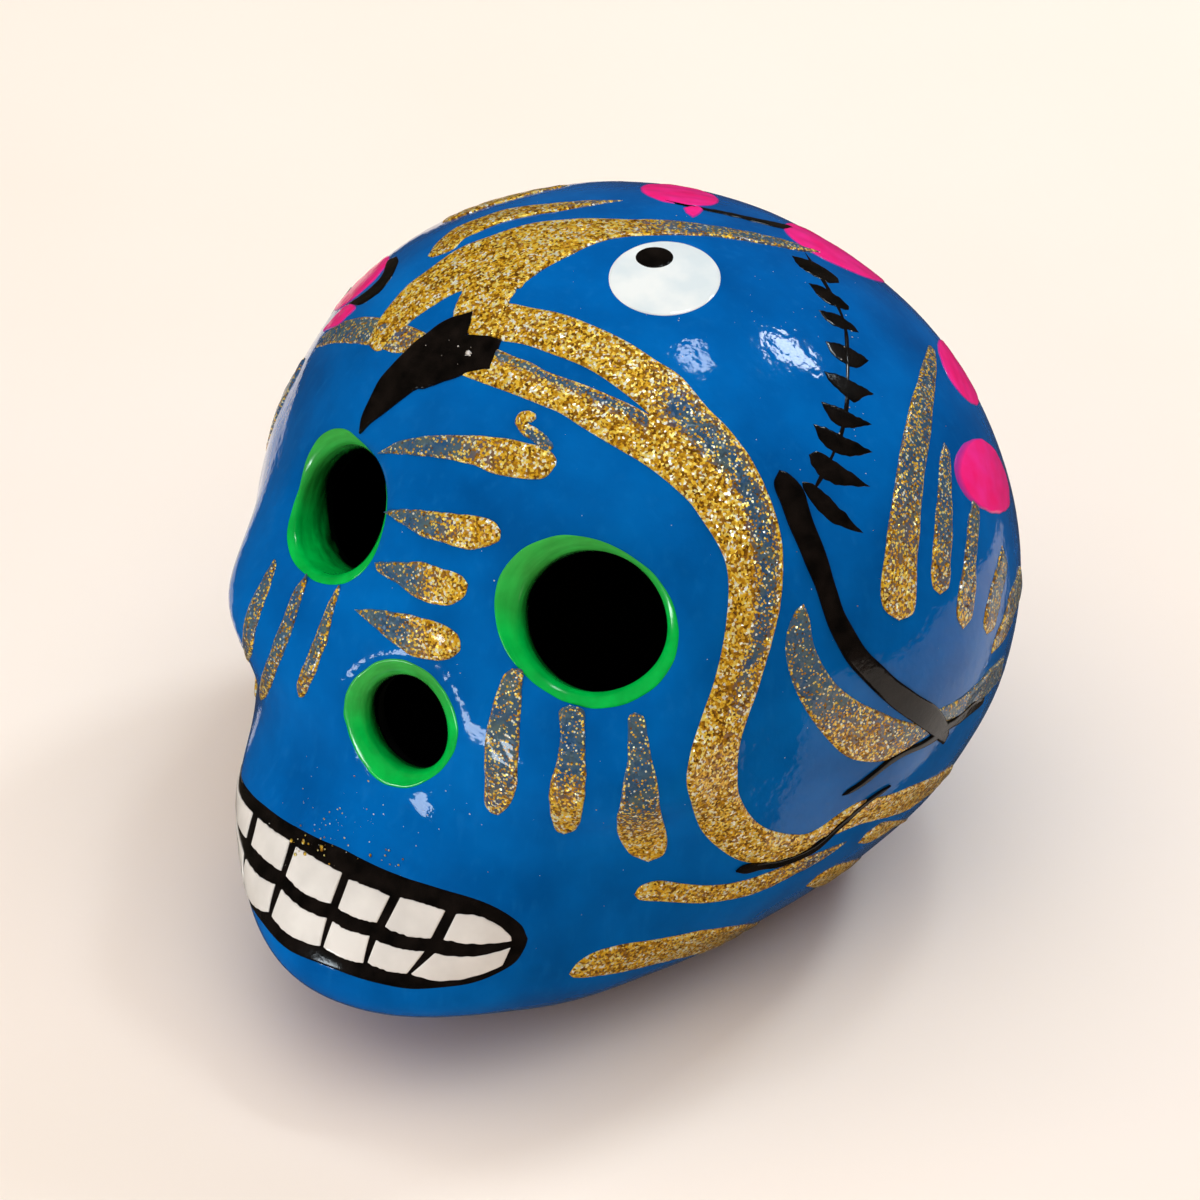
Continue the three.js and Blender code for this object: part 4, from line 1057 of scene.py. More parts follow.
# The right side repeats the left side's strokes, mirrored and turned about the upright by some degrees
FAR_TURN_DEG, FAR_SWEEP_TURN_DEG, FAR_BACK_TURN_DEG = -6.0, -18.0, -16.2
SWEEP_LINE_PX = [
    (983.4, 696.6), (955.2, 720.5), (944.3, 727), (929.2, 740), (911.8, 748.7), (894.5, 757.4),
    (874.9, 772.5), (857.6, 785.5), (841.3, 795.3),
]
JAW_LINE_PX = [
    (890.1, 784.5), (879.3, 792), (864.1, 802.9), (846.7, 818.1), (833.7, 830), (818.6, 844.1), (799, 855),
    (777.3, 862.5), (758, 865.4), (735.1, 870.7),
]
BACK_STROKES_PX = [
    (
        [(928.4, 345.1), (921.2, 366.5), (909, 409.4), (900.8, 446.1), (892.7, 495.1), (883.5, 560),
         (880.4, 592.5), (884.7, 609.9), (898.8, 620.7)],
        [(928.4, 345.1), (935.1, 354.3), (934.5, 393.1), (930.4, 433.9), (923.3, 484.9), (917.2, 560),
         (916.1, 601.2), (911.8, 614.2), (898.8, 620.7)],
    ),
    (
        [(943.7, 442), (939.6, 460.4), (935.5, 515.5), (931.3, 564.3), (932.4, 586), (940, 594.7)],
        [(943.7, 442), (949.8, 454.3), (951.4, 484.9), (950.8, 560), (948.7, 586), (940, 594.7)],
    ),
    (
        [(972.2, 499.2), (968.2, 521.6), (961.7, 573), (956.3, 614.2), (962.8, 629.4)],
        [(972.2, 499.2), (978.8, 509.4), (975.8, 560), (972.5, 614.2), (962.8, 629.4)],
    ),
    (
        [(1002, 545), (996.4, 566.5), (987.7, 599), (983.4, 622.9), (986.6, 634.8)],
        [(1002, 545), (1006.2, 566.5), (1000.7, 596.9), (993.1, 627.2), (986.6, 634.8)],
    ),
]
BRANCH_STEM_PX = [
    (812, 494), (830.4, 460.4), (841.6, 431.8), (846.7, 403.3), (847.8, 370.6), (846.7, 338),
    (841.6, 315.5), (827.3, 286.9), (804, 251),
]
LEAVES_PX = [
    (
        [(801.8, 481.8), (809, 481.8), (823.3, 491), (841.6, 509.4), (864.5, 533.9)],
        [(801.8, 481.8), (803.9, 491), (815.1, 507.3), (835.5, 524.7), (864.5, 533.9)],
    ),
    (
        [(808.4, 454.3), (817.1, 451.2), (831.4, 458.4), (851.8, 472.7), (870.8, 486.9)],
        [(808.4, 454.3), (812, 466.5), (823.3, 478.8), (841.6, 485.9), (870.8, 486.9)],
    ),
    (
        [(812.7, 423.7), (829.4, 428.8), (851.8, 440), (873.5, 452.2)],
        [(812.7, 423.7), (821.2, 442), (835.5, 453.3), (855.9, 456.3), (873.5, 452.2)],
    ),
    (
        [(820.6, 401.2), (837.6, 406.3), (855.9, 415.5), (872.9, 424.7)],
        [(820.6, 401.2), (829.4, 418.6), (839.6, 426.7), (855.9, 427.8), (872.9, 424.7)],
    ),
    (
        [(823.3, 370.6), (841.6, 375.7), (860, 384.9), (874.3, 394.1)],
        [(823.3, 370.6), (830.4, 382.9), (841.6, 393.1), (853.9, 403), (862, 398.2), (874.3, 394.1)],
    ),
    (
        [(824.9, 341), (841.6, 344.1), (858, 352.2), (869.2, 360.4)],
        [(824.9, 341), (829.4, 350.2), (837.6, 359.4), (849.8, 366.5), (860, 367.6), (869.2, 360.4)],
    ),
    (
        [(818.2, 309.8), (835.5, 313.5), (851.8, 323.7), (859.6, 332.9)],
        [(818.2, 309.8), (827.3, 321.6), (841.6, 328.8), (859.6, 332.9)],
    ),
    (
        [(808, 282.9), (821.2, 285.9), (841.6, 299.2), (849.2, 306.3)],
        [(808, 282.9), (819.2, 297.1), (831.4, 305.3), (847.8, 310.4), (849.2, 306.3)],
    ),
    (
        [(791.6, 255.3), (815, 262.4), (836.5, 276.7), (839.6, 283)],
        [(791.6, 255.3), (798, 265.5), (815, 276.7), (829, 283), (839.6, 283)],
    ),
]
# Middle and half sizes of the painted eye and its pupil
EYEBALL_PX = ((664.6, 278.6), (56.0, 37.4))
PUPIL_PX = ((654.4, 258.2), (18.8, 10.3))
MOUTH_TOP_PX = [
    (243, 781), (248, 788.5), (257.2, 798.5), (273.3, 811.5), (292.6, 824.5), (321.6, 839.2),
    (353.8, 854.4), (386, 869.8), (431, 885), (469.7, 897.2), (501.9, 910), (521.2, 924.5), (528, 939),
]
MOUTH_BOTTOM_PX = [
    (244.3, 896), (257.2, 915), (273.3, 937.4), (302.3, 956.7), (337.7, 971), (379.5, 984), (418.2, 989.6),
    (463.2, 985), (492.2, 976), (514.8, 963.2), (524.4, 949), (528, 939),
]
# The far end of the mouth, out of sight, in degrees of turn and rise, and its last two teeth
FAR_MOUTH_TOP_DEG = [(-38.5, -13.0), (-37.5, -10.9), (-35, -9.0)]
FAR_MOUTH_BOTTOM_DEG = [(-38.5, -13.0), (-37, -15.5), (-33, -17), (-28, -17.4)]
FAR_UPPER_TOOTH_DEG = [(-35.6, -10.9), (-22.5, -7.1), (-21.5, -10.0), (-36.4, -13.4)]
FAR_LOWER_TOOTH_DEG = [(-36.2, -14.2), (-20.9, -11.7), (-19.2, -15.4), (-31.5, -16.8)]
# Small marks: the curl on the first bridge drop, smears under the swirl's end, a narrow last back stroke
BRIDGE_CURL_PX = [(550, 452), (543, 442), (534, 434), (525, 429), (521, 422), (527, 416), (536, 419)]
SMEARS_PX = [
    ([(858, 843), (868, 832), (884, 822), (908, 818)], [(858, 843), (868, 842), (888, 830), (908, 818)]),
    ([(806, 886), (820, 874), (840, 864), (864, 858)], [(806, 886), (822, 884), (842, 874), (864, 858)]),
]
LAST_BACK_STROKE_PX = (
    [(1019, 566), (1011, 590), (1004, 614), (994, 640), (991, 654)],
    [(1019, 566), (1021.5, 586), (1016, 606), (1003, 640), (991, 654)],
)
# Dark lines painted round two of the dots
CROWN_OUTLINE_PX = [
    (662, 200), (686, 205.6), (705, 209.5), (734, 215.5), (758, 221), (782, 226.5), (794, 229),
]
DOT_OUTLINE_PX = (
    [(397, 256.5), (388, 261), (383.5, 272.5), (376, 283.3), (363.3, 294.2), (347, 305.5)],
    [(397, 256.5), (398.4, 262), (392.3, 276), (381.4, 290.6), (370.6, 299.6), (359.7, 305), (347, 305.5)],
)
DOT_SPILL_PX = (
    [(352, 303), (346, 306), (338, 313), (330, 322), (323, 332)],
    [(352, 303), (356, 308.5), (347, 317), (337, 326), (323, 332)],
)
DOT_DRIP_PX = (
    [(683, 208), (686, 213), (693, 218)],
    [(683, 208), (694, 206), (703, 209), (700, 214), (693, 218)],
)
# Corners of teeth, clockwise from the upper left, and how far the upper and the lower edge bow up
UPPER_TEETH_PX = [
    ([(258.8, 817.7), (290.6, 840.8), (281.6, 871.4), (252, 845.2)], 0.0, 0.0),
    ([(296.5, 846.6), (342.5, 873), (331.2, 903.6), (286.2, 876.2)], 0.02, -0.02),
    ([(349, 879.5), (390.2, 896.2), (377, 922.9), (338.3, 908.4)], 0.02, -0.02),
    ([(400.5, 897.2), (445.5, 910.7), (431, 938.4), (385, 926.8)], 0.02, -0.03),
    ([(456.2, 913.9), (510.9, 936.4), (511.5, 940.6), (443.3, 939.7)], 0.12, -0.02),
]
LOWER_TEETH_PX = [
    ([(246.9, 858.5), (275.9, 884.3), (269.4, 912.3), (245, 885.9)], -0.02, -0.03),
    ([(282.3, 889.1), (327.4, 918.1), (320.6, 946.1), (272.3, 916.5)], -0.02, -0.03),
    ([(332.9, 921.3), (369.9, 935.8), (363.4, 963.2), (323.8, 947.1)], -0.02, -0.02),
    ([(376.3, 940), (424.6, 951.3), (406.9, 973.5), (367.6, 962.5)], -0.02, -0.03),
    ([(434.9, 952.9), (510.6, 947.1), (502.5, 964.8), (410.8, 973.8)], -0.05, -0.09),
]
# Centres, half sizes and tilts of the pink dots, in degrees
DOTS_DEG = [
    ((11.8, 77.8), (6.8, 6.2), 0),
    ((39.6, 69.8), (11.0, 7.4), 4),
    ((61.6, 50.2), (7.6, 6.4), 60),
    ((63.9, 30.5), (9.9, 6.2), 8),
    ((-46.5, 66.5), (6.8, 9.4), 54),
]

# Widths of thin lines at their start and end, in pixels
CURL_WIDTHS_PX, SWEEP_LINE_WIDTHS_PX, JAW_LINE_WIDTHS_PX = (14, 11), (8, 4), (2, 8)
STEM_WIDTHS_PX, OUTLINE_WIDTHS_PX = (5, 3), (1, 5)

# How thick coats stand, and how wide their rounded edges are
GOLD_THICK, BLACK_THICK, WHITE_THICK, PINK_THICK = 0.3, 0.12, 0.15, 0.18
SWEEP_THICK, EYEBROW_THICK, OUTLINE_THICK, TAIL_THICK = 0.4, 0.42, 0.2, GOLD_THICK * 0.7
TOOTH_LIFT = BLACK_THICK * 1.1
GOLD_EDGE, BLACK_EDGE, WHITE_EDGE, TOOTH_EDGE, DOT_EDGE, SPILL_EDGE = 0.6, 0.35, 0.45, 0.3, 0.5, 0.4
# How high the ridges in black enamel are, and how far the edges of some marks wander, in degrees
BLACK_RIDGES = 0.008
MARK_WOBBLE, TOOTH_WOBBLE = 0.07, 0.03
# How wide the thin rim is where the fourth dot starts
THIN_START = 2.4
# Rows and columns of a stroke's grid: how many to a degree, and their least and most
GRID_PER_DEG = 4
ROW_LIMITS, COLUMN_LIMITS = (70, 420), (15, 44)
# Rows and columns of other grids
MOUTH_ROWS, MOUTH_COLUMNS = 190, 44
TOOTH_ROWS, TOOTH_COLUMNS = 48, 26
DOT_ROWS, DOT_COLUMNS = 60, 34
CROWN_ROWS, CROWN_COLUMNS = 90, 24
SWIRL_ROWS, SWIRL_COLUMNS = 400, 20
# Points of the edges that are made by a formula, and the share of a thin line that its tips take
OVAL_POINTS, DOT_POINTS, LINE_POINTS = 33, 25, 24
LINE_TIP = 0.05
# How much of a tooth's width its rounded corners take, and how far the edges of the far teeth bow
TOOTH_ROUNDING = 0.025
FAR_TOOTH_BOWS = (0.02, -0.02)


def glitter(start, change, low, high, rim, rim_away=0.2, rim_width=0.18):
    """How dense the glitter of a kind of stroke is: a start value, a change between two shares along, and
    a rim where flakes gather near the edge."""

    def cover(along, across, distance):
        dense = start + change * smooth_step(low, high, along)
        return np.clip(dense + rim * bell(distance, rim_away, rim_width), 0, 1)

    return cover


# A drop is sparse at its tail and dense at its round end, and the jaw strokes and the arc thin out
drop_cover = glitter(0.3, 0.62, 0.25, 0.85, 0.25, 0.25, 0.22)
jaw_cover = glitter(0.86, -0.4, 0.5, 1.0, 0.2, 0.25, 0.22)
arc_cover = glitter(0.95, -0.5, 0.5, 0.75, 0.2, 0.25, 0.22)
thin_cover = glitter(0.42, 0.2, 0.3, 1.0, 0.2)
back_cover = glitter(0.5, 0.3, 0.5, 1.0, 0.15)
link_cover = glitter(0.97, 0.0, 0.0, 1.0, 0.0)


def crescent_cover(along, across, distance):
    """Glitter of a crescent: it gathers below the middle and thins out to both tips."""
    dense = 0.32 + 0.44 * bell(along, 0.42, 0.2) * (1 - 0.5 * across)
    return np.clip(dense + 0.2 * bell(distance, 0.2, 0.18), 0, 1)


def size_of(edges):
    """Rows and columns that suit a stroke, from its length and its width half way, in degrees."""
    length = np.linalg.norm(np.diff(edges[0], axis=0), axis=1).sum()
    width = np.linalg.norm(curve_through(edges[0], [0.5]) - curve_through(edges[-1], [0.5]))
    rows = np.clip(length * GRID_PER_DEG, *ROW_LIMITS)
    return int(rows), int(np.clip(width * GRID_PER_DEG, *COLUMN_LIMITS))


def stroke(edges_px, thick, edge, seed, **how):
    """The coat between two edges given in pixels."""
    edges = [seen_at(points_px) for points_px in edges_px]
    rows, columns = size_of(edges)
    along = eased(rows)
    lines = [curve_through(points, along) for points in edges]
    return coat_grid(lines, along, columns, thick, edge, seed, **how)


def gold(name, *strokes_px, seed, far_turn_deg=0, cover=drop_cover, replaces=True):
    """A piece of gold glitter from the edges of its strokes."""
    how = dict(far_turn_deg=far_turn_deg)
    grids = [stroke(edges, GOLD_THICK, GOLD_EDGE, seed + k, **how) for k, edges in enumerate(strokes_px)]
    paint(name, grids, GOLD, replaces, cover)


def black(name, *strokes_px, seed, far_turn_deg=0, replaces=True, lift=0.0, thick=BLACK_THICK):
    """A piece of black enamel from the edges of its strokes."""
    how = dict(far_turn_deg=far_turn_deg, lift=lift, uneven=BLACK_RIDGES / thick)
    grids = [stroke(edges, thick, BLACK_EDGE, seed + k, **how) for k, edges in enumerate(strokes_px)]
    paint(name, grids, BLACK, replaces)


def face_degrees(points_px):
    """Degrees of turn and rise of the places that pixels look at."""
    ways = from_chart(seen_at(points_px))
    return np.stack([np.degrees(np.arctan2(ways[:, 0], -ways[:, 1])), np.degrees(np.arcsin(ways[:, 2]))], -1)


def face_rail(degrees):
    """Chart degrees of degrees of turn and rise."""
    return to_chart(turned(degrees[:, 0], degrees[:, 1]))


def mouth_edge(far_deg, points_px):
    """A whole edge of the mouth: its far end, then the part that shows well."""
    shown = face_degrees(points_px)
    return face_rail(np.concatenate([far_deg, shown[shown[:, 0] > far_deg[-1][0] + 3]]))


def tooth(name, corners, upper_bow, lower_bow, seed):
    """White coat of one tooth: the patch between two bowed edges that join its corners. Each edge closes
    in on the other by a quarter circle near its ends, which rounds the corners a little."""
    along = eased(TOOTH_ROWS, COLUMN_EASE)
    t = along[:, None]
    edges = []
    for start, end, bow in ((corners[0], corners[1], upper_bow), (corners[3], corners[2], lower_bow)):
        chord = end - start
        edges.append(start * (1 - t) + end * t + np.array([-chord[1], chord[0]]) * bow * 4 * t * (1 - t))
    turned_in = TOOTH_ROUNDING * (1 - crowned(np.minimum(t, 1 - t), TOOTH_ROUNDING))
    lines = [face_rail(one * (1 - turned_in) + other * turned_in) for one, other in (edges, edges[::-1])]
    how = dict(lift=TOOTH_LIFT, wobble=TOOTH_WOBBLE)
    grid = coat_grid(lines, along, TOOTH_COLUMNS, WHITE_THICK, TOOTH_EDGE, seed, **how)
    paint(name, [grid], WHITE)


# What a dot's seed grows by for its spills, and the share along it where a thin start ends
SPILL_SEED, THIN_END = 7, 0.4


def dot(name, centre, halves, tilt_deg, *spills_px, seed, thin_start=0):
    """Pink dot: a wobbly ellipse, thin at its rim, and thinner at its start on some."""
    angle = np.linspace(math.pi, 0, DOT_POINTS)
    c, s = math.cos(math.radians(tilt_deg)), math.sin(math.radians(tilt_deg))
    along = eased(DOT_ROWS)
    lines = []
    for side in (1, -1):
        x, y = halves[0] * np.cos(angle), side * halves[1] * np.sin(angle)
        edge = np.stack([centre[0] + c * x - s * y, centre[1] + s * x + c * y], -1)
        lines.append(curve_through(edge, along))
    grids = [coat_grid(lines, along, DOT_COLUMNS, PINK_THICK, DOT_EDGE, seed, wobble=MARK_WOBBLE)]
    grids += [stroke(edges, PINK_THICK, SPILL_EDGE, seed + SPILL_SEED) for edges in spills_px]

    def cover(along, across, distance):
        return np.clip(distance / (DOT_EDGE + thin_start * smooth_step(THIN_END, 0.0, along)), 0, 1)

    paint(name, grids, PINK, cover=cover)


def oval(middle, halves):
    """Upper and lower edge of an oval in pixels, from its left end to its right end."""
    angle = np.linspace(math.pi, 0, OVAL_POINTS)
    ways = [np.stack([halves[0] * np.cos(angle), side * halves[1] * np.sin(angle)], -1) for side in (-1, 1)]
    return [np.array(middle) + way for way in ways]


def line(points_px, start_width, end_width):
    """Edges of a thin line through pixels, at half its width to each side."""
    share = np.linspace(0, 1, LINE_POINTS)
    middle = curve_through(points_px, share)
    ahead = unit(np.gradient(middle, axis=0))
    side = np.stack([-ahead[:, 1], ahead[:, 0]], -1)
    width = (start_width * (1 - share) + end_width * share)[:, None]
    half = width / 2 * np.clip(np.minimum(share, 1 - share) / LINE_TIP, 0, 1)[:, None]
    return middle + side * half, middle - side * half


# Mouth and teeth
mouth_along = eased(MOUTH_ROWS)
mouth_sides = ((FAR_MOUTH_TOP_DEG, MOUTH_TOP_PX), (FAR_MOUTH_BOTTOM_DEG, MOUTH_BOTTOM_PX))
mouth_lines = [curve_through(mouth_edge(*side), mouth_along) for side in mouth_sides]
mouth_grid = coat_grid(
    mouth_lines, mouth_along, MOUTH_COLUMNS, BLACK_THICK, BLACK_EDGE, seed=31, wobble=MARK_WOBBLE
)
paint("mouth_lines", [mouth_grid], BLACK)
tooth_rows = {"upper": (FAR_UPPER_TOOTH_DEG, UPPER_TEETH_PX), "lower": (FAR_LOWER_TOOTH_DEG, LOWER_TEETH_PX)}
for row_name, (far_deg, teeth) in tooth_rows.items():
    shapes = [(np.array(far_deg), *FAR_TOOTH_BOWS)]
    shapes += [(face_degrees(corners), *bows) for corners, *bows in teeth]
    for number, (corners, upper_bow, lower_bow) in enumerate(shapes, start=1):
        tooth(f"{row_name}_tooth_{number}", corners, upper_bow, lower_bow, seed=40 + number)

# Gold and black strokes
for number, edges in enumerate(BRIDGE_DROPS_PX, start=1):
    curl = [line(BRIDGE_CURL_PX, *CURL_WIDTHS_PX)] if number == 1 else []
    gold(f"bridge_drop_{number}", edges, *curl, seed=60 + number)
cheek_drops = zip(LEFT_CHEEK_DROPS_PX, RIGHT_CHEEK_DROPS_PX)
for number, (left_edges, right_edges) in enumerate(cheek_drops, start=1):
    left_cover = thin_cover if number == 1 else drop_cover
    gold(f"left_cheek_drop_{number}", left_edges, seed=70 + number, cover=left_cover)
    gold(f"right_cheek_drop_{number}", right_edges, seed=80 + number, cover=thin_cover)
for side, mirrored in (("left", False), ("right", True)):
    far = dict(far_turn_deg=mirrored * FAR_TURN_DEG)
    gold(f"{side}_lower_jaw_stroke", LOWER_JAW_STROKE_PX, seed=90 + mirrored, cover=jaw_cover, **far)
    upper_edges = [UPPER_JAW_STROKE_PX, *SMEARS_PX]
    gold(f"{side}_upper_jaw_stroke", *upper_edges, seed=94 + mirrored, cover=jaw_cover, **far)
    gold(f"{side}_crescent", CRESCENT_PX, seed=98 + mirrored, cover=crescent_cover, **far)
    sweep_edges = [[SWEEP_START_PX] + edge[SWEEP_SKIPPED:] for edge in SWEEP_PX] if mirrored else SWEEP_PX
    sweep_line = line(SWEEP_LINE_PX, *SWEEP_LINE_WIDTHS_PX)
    sweep_far = dict(far_turn_deg=mirrored * FAR_SWEEP_TURN_DEG)
    black(f"{side}_sweep", sweep_edges, sweep_line, seed=102 + mirrored, thick=SWEEP_THICK, **sweep_far)
    jaw_line = line(JAW_LINE_PX, *JAW_LINE_WIDTHS_PX)
    black(f"{side}_jaw_line", jaw_line, seed=106, replaces=False, lift=GOLD_THICK, **far)
    back_far = dict(far_turn_deg=mirrored * FAR_BACK_TURN_DEG)
    for number, edges in enumerate(BACK_STROKES_PX, start=1):
        last = [LAST_BACK_STROKE_PX] if number == 4 else []
        seed = 110 + 10 * number + mirrored
        cover = back_cover if number == 1 else thin_cover
        gold(f"{side}_back_stroke_{number}", edges, *last, seed=seed, cover=cover, **back_far)

black("eyebrow", EYEBROW_PX, EYEBROW_PRONG_PX, seed=170, thick=EYEBROW_THICK)
black("branch", line(BRANCH_STEM_PX, *STEM_WIDTHS_PX), *LEAVES_PX, seed=180)
gold("crown_arc", CROWN_ARC_PX, seed=200, cover=arc_cover)
gold("arc_link", ARC_LINK_PX, seed=202, cover=link_cover, replaces=False)
gold("crown_stroke_1", CROWN_STROKE_PX, seed=206, cover=jaw_cover)
crown_along = eased(CROWN_ROWS)
crown_lines = [curve_through(edge, crown_along) for edge in CROWN_STROKE_DEG]
crown_grid = coat_grid(crown_lines, crown_along, CROWN_COLUMNS, GOLD_THICK, GOLD_EDGE, seed=207)
paint("crown_stroke_2", [crown_grid], GOLD, cover=jaw_cover)

# The painted eye, the pink dots and the dark lines round two of them
eyeball = stroke(oval(*EYEBALL_PX), WHITE_THICK, WHITE_EDGE, seed=210, wobble=0.0)
paint("eyeball", [eyeball], EYE_WHITE)
pupil = stroke(oval(*PUPIL_PX), BLACK_THICK, BLACK_EDGE, seed=212, lift=WHITE_THICK, wobble=0.0)
paint("pupil", [pupil], BLACK)
for number, (centre, halves, tilt_deg) in enumerate(DOTS_DEG, start=1):
    spills = {1: [DOT_DRIP_PX], 5: [DOT_SPILL_PX]}.get(number, [])
    thin_start = THIN_START if number == 4 else 0
    dot(f"dot_{number}", centre, halves, tilt_deg, *spills, seed=220 + number, thin_start=thin_start)
crown_outline = line(CROWN_OUTLINE_PX, *OUTLINE_WIDTHS_PX)
black("dot_outlines", crown_outline, DOT_OUTLINE_PX, seed=240, replaces=False, thick=OUTLINE_THICK)


# How deep a fleck's rim lies below its height, and how far its tip stands above it
FLECK_RIM_DEPTH, FLECK_TIP = 0.03, 0.05


def flecks(name, places, sizes, heights, material, slot):
    """Stray flecks, and white specks that stand in for glints: flat six-sided cones. Places are directions,
    heights are above the skin, and each cone's rim lies a little lower than its height."""
    skin, out = on_skin(places)
    side = unit(np.cross(out, [0.3, 0.5, 0.8]))
    up = np.cross(out, side)
    around = np.arange(6) * math.pi / 3
    rim = side[:, None] * np.cos(around)[:, None] + up[:, None] * np.sin(around)[:, None] * 0.8
    ring = skin[:, None] + rim * sizes[:, None, None] + (out * (heights - FLECK_RIM_DEPTH)[:, None])[:, None]
    top = skin + out * (heights + FLECK_TIP)[:, None]
    points = np.concatenate([ring, top[:, None]], 1)
    k = np.arange(6)
    first = np.arange(len(places))[:, None, None] * 7
    sides = (np.stack([k, (k + 1) % 6, np.full(6, 6)], -1) + first).reshape(-1, 3).tolist()
    floors = (np.arange(5, -1, -1) + first[:, 0]).tolist()
    piece = new_piece(name, points.reshape(-1, 3), sides + floors, material)
    store(piece, "cover", np.ones(points.size // 3))
    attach(piece, "root")


# How far from a socket's hole flecks keep
FLECK_CLEARANCE = 3.2


def scattered(groups, own):
    """Directions, sizes and heights of flecks scattered round pixels of the photograph."""
    places, sizes, heights = [], [], []
    for centre, spread, count, largest, height in groups:
        pixels = np.array(centre) + own.normal(size=(count, 2)) * spread
        places.append(from_chart(seen_at(pixels)))
        sizes.append(own.uniform(0.4, 1, count) ** 2 * largest)
        heights.append(np.full(count, height))
    places, sizes, heights = np.concatenate(places), np.concatenate(sizes), np.concatenate(heights)
    whole = np.ones(len(places), bool)
    for socket in SOCKETS.values():
        middle = socket["middle"] - HEART
        clear_deg = math.degrees((socket["hole"] + FLECK_CLEARANCE) / np.linalg.norm(middle))
        whole &= np.degrees(np.arccos(places @ unit(middle))) > clear_deg
    return places[whole], sizes[whole], heights[whole]


# Middle and spread in pixels, count, largest radius and height above the skin of each cloud of flecks
GOLD_FLECKS = [
    ((322, 812), (30, 18), 26, 0.26, 0.0),
    ((308, 845), (14, 10), 22, 0.34, 0.27),
    ((345, 862), (34, 10), 20, 0.22, 0.12),
    ((560, 700), (180, 120), 26, 0.16, 0.0),
    ((640, 330), (120, 60), 16, 0.16, 0.0),
    ((850, 560), (60, 130), 16, 0.16, 0.0),
]
WHITE_FLECKS_AND_GLINTS = [
    ((330, 815), (40, 22), 22, 0.2, 0.0),
    ((420, 800), (60, 24), 24, 0.18, 0.0),
    ((560, 640), (190, 150), 46, 0.13, 0.0),
    ((640, 320), (130, 60), 30, 0.14, 0.0),
    ((840, 520), (70, 140), 30, 0.13, 0.0),
    ((450, 345), (14, 10), 7, 0.2, 0.47),
    ((471.5, 355.5), (1.6, 1.2), 5, 0.5, 0.47),
    # These two clouds round the branch are painted glints: white specks in place of small highlights
    ((800, 300), (44, 40), 20, 0.15, 0.0),
    ((846, 350), (10, 50), 12, 0.15, 0.13),
    ((380, 860), (60, 20), 12, 0.12, 0.12),
]
stray = np.random.default_rng(91)
flecks("gold_flecks", *scattered(GOLD_FLECKS, stray), GOLD, "gold_glitter")
flecks("white_flecks_and_glints", *scattered(WHITE_FLECKS_AND_GLINTS, stray), WHITE, "white_enamel")


def swirl():
    """The double swirl: two strands part at its upper end, with bare blue between them."""
    along = eased(SWIRL_ROWS)
    outer, inner = (curve_through(seen_at(points), along) for points in (SWIRL_OUTER_PX, SWIRL_INNER_PX))
    upper, lower = seen_at(SWIRL_GAP_UPPER_PX), seen_at(SWIRL_GAP_LOWER_PX)
    parted = along[np.argmin(np.linalg.norm((outer + inner) / 2 - upper[-1], axis=1))]
    before = np.clip(along / parted, 0, 1)
    after = smooth_step(parted, parted + 0.1, along)[:, None]
    lines = [outer]
    for gap_edge, share in ((upper, 0.54), (lower, 0.46)):
        beyond = outer * share + inner * (1 - share)
        lines.append(curve_through(gap_edge, before) * (1 - after) + beyond * after)
    def cover(along, across, distance):
        """Dense glitter, thin beside the bare strip and along the outer edge of the bend."""
        strip = 0.5 * bell(across, 0.71, 0.06) * (along < parted)
        bend = smooth_step(parted - 0.03, parted + 0.06, along) * smooth_step(0.56, 0.42, along)
        outer_edge = 0.5 * bell(across, 0.18, 0.15) * bend
        rim = 0.25 * bell(distance, 0.25, 0.22)
        return np.clip(0.9 - strip - outer_edge - 0.3 * smooth_step(0.86, 1, along) + rim, 0, 1)

    lines.append(inner)
    how = dict(parted=parted, wobble=MARK_WOBBLE)
    grid = coat_grid(lines, along, SWIRL_COLUMNS, GOLD_THICK, GOLD_EDGE, seed=230, **how)
    paint("swirl", [grid], GOLD, cover=cover)
    tail = stroke(SWIRL_TAIL_PX, TAIL_THICK, GOLD_EDGE, seed=232)
    paint("swirl_tail", [tail], GOLD, replaces=False, cover=thin_cover)


swirl()


# The table's corners across and away, and the two cells near the skull that gloss mirrors
TABLE_ACROSS = (-3000, -140, -62, 60, 260, 3000)
TABLE_AWAY = (-3000, -120, -20, 140, 3000)
NEAR_SKULL = {(1, 2), (3, 2)}
# Lamps: degrees of turn and rise, how far away, width and height, watts and colour
DAYLIGHT = (0.82, 0.93, 1.0)
LAMPS = {
    "window behind": (160, 45, 900, 150, 115, 1.9, DAYLIGHT),
    "sky above": (170, 67, 900, 125, 100, 0.9, DAYLIGHT),
    "low front window": (-14.5, -5.9, 245, 52, 34, 0.13, DAYLIGHT),
}
FILL_LAMPS = {
    "overhead fill": (10, 84, 2600, 3600, 3600, 70, (0.945, 0.966, 0.985)),
    "left fill": (-75, 30, 2600, 1800, 1800, 14, (1.0, 0.74, 0.46)),
    "front fill": (0, 28, 2600, 1800, 1800, 12, (1.0, 0.78, 0.54)),
    "right fill": (85, 22, 2600, 1800, 1800, 9, (1.0, 0.56, 0.22)),
    "back fill": (180, 28, 2600, 1800, 1800, 4, (1.0, 0.56, 0.22)),
}
# What the lamps look at, and the warm glow of the room
LAMP_AIM = np.array([0, 0, 45])
ROOM_COLOUR, ROOM_STRENGTH = (1.0, 0.8, 0.55, 1), 0.045


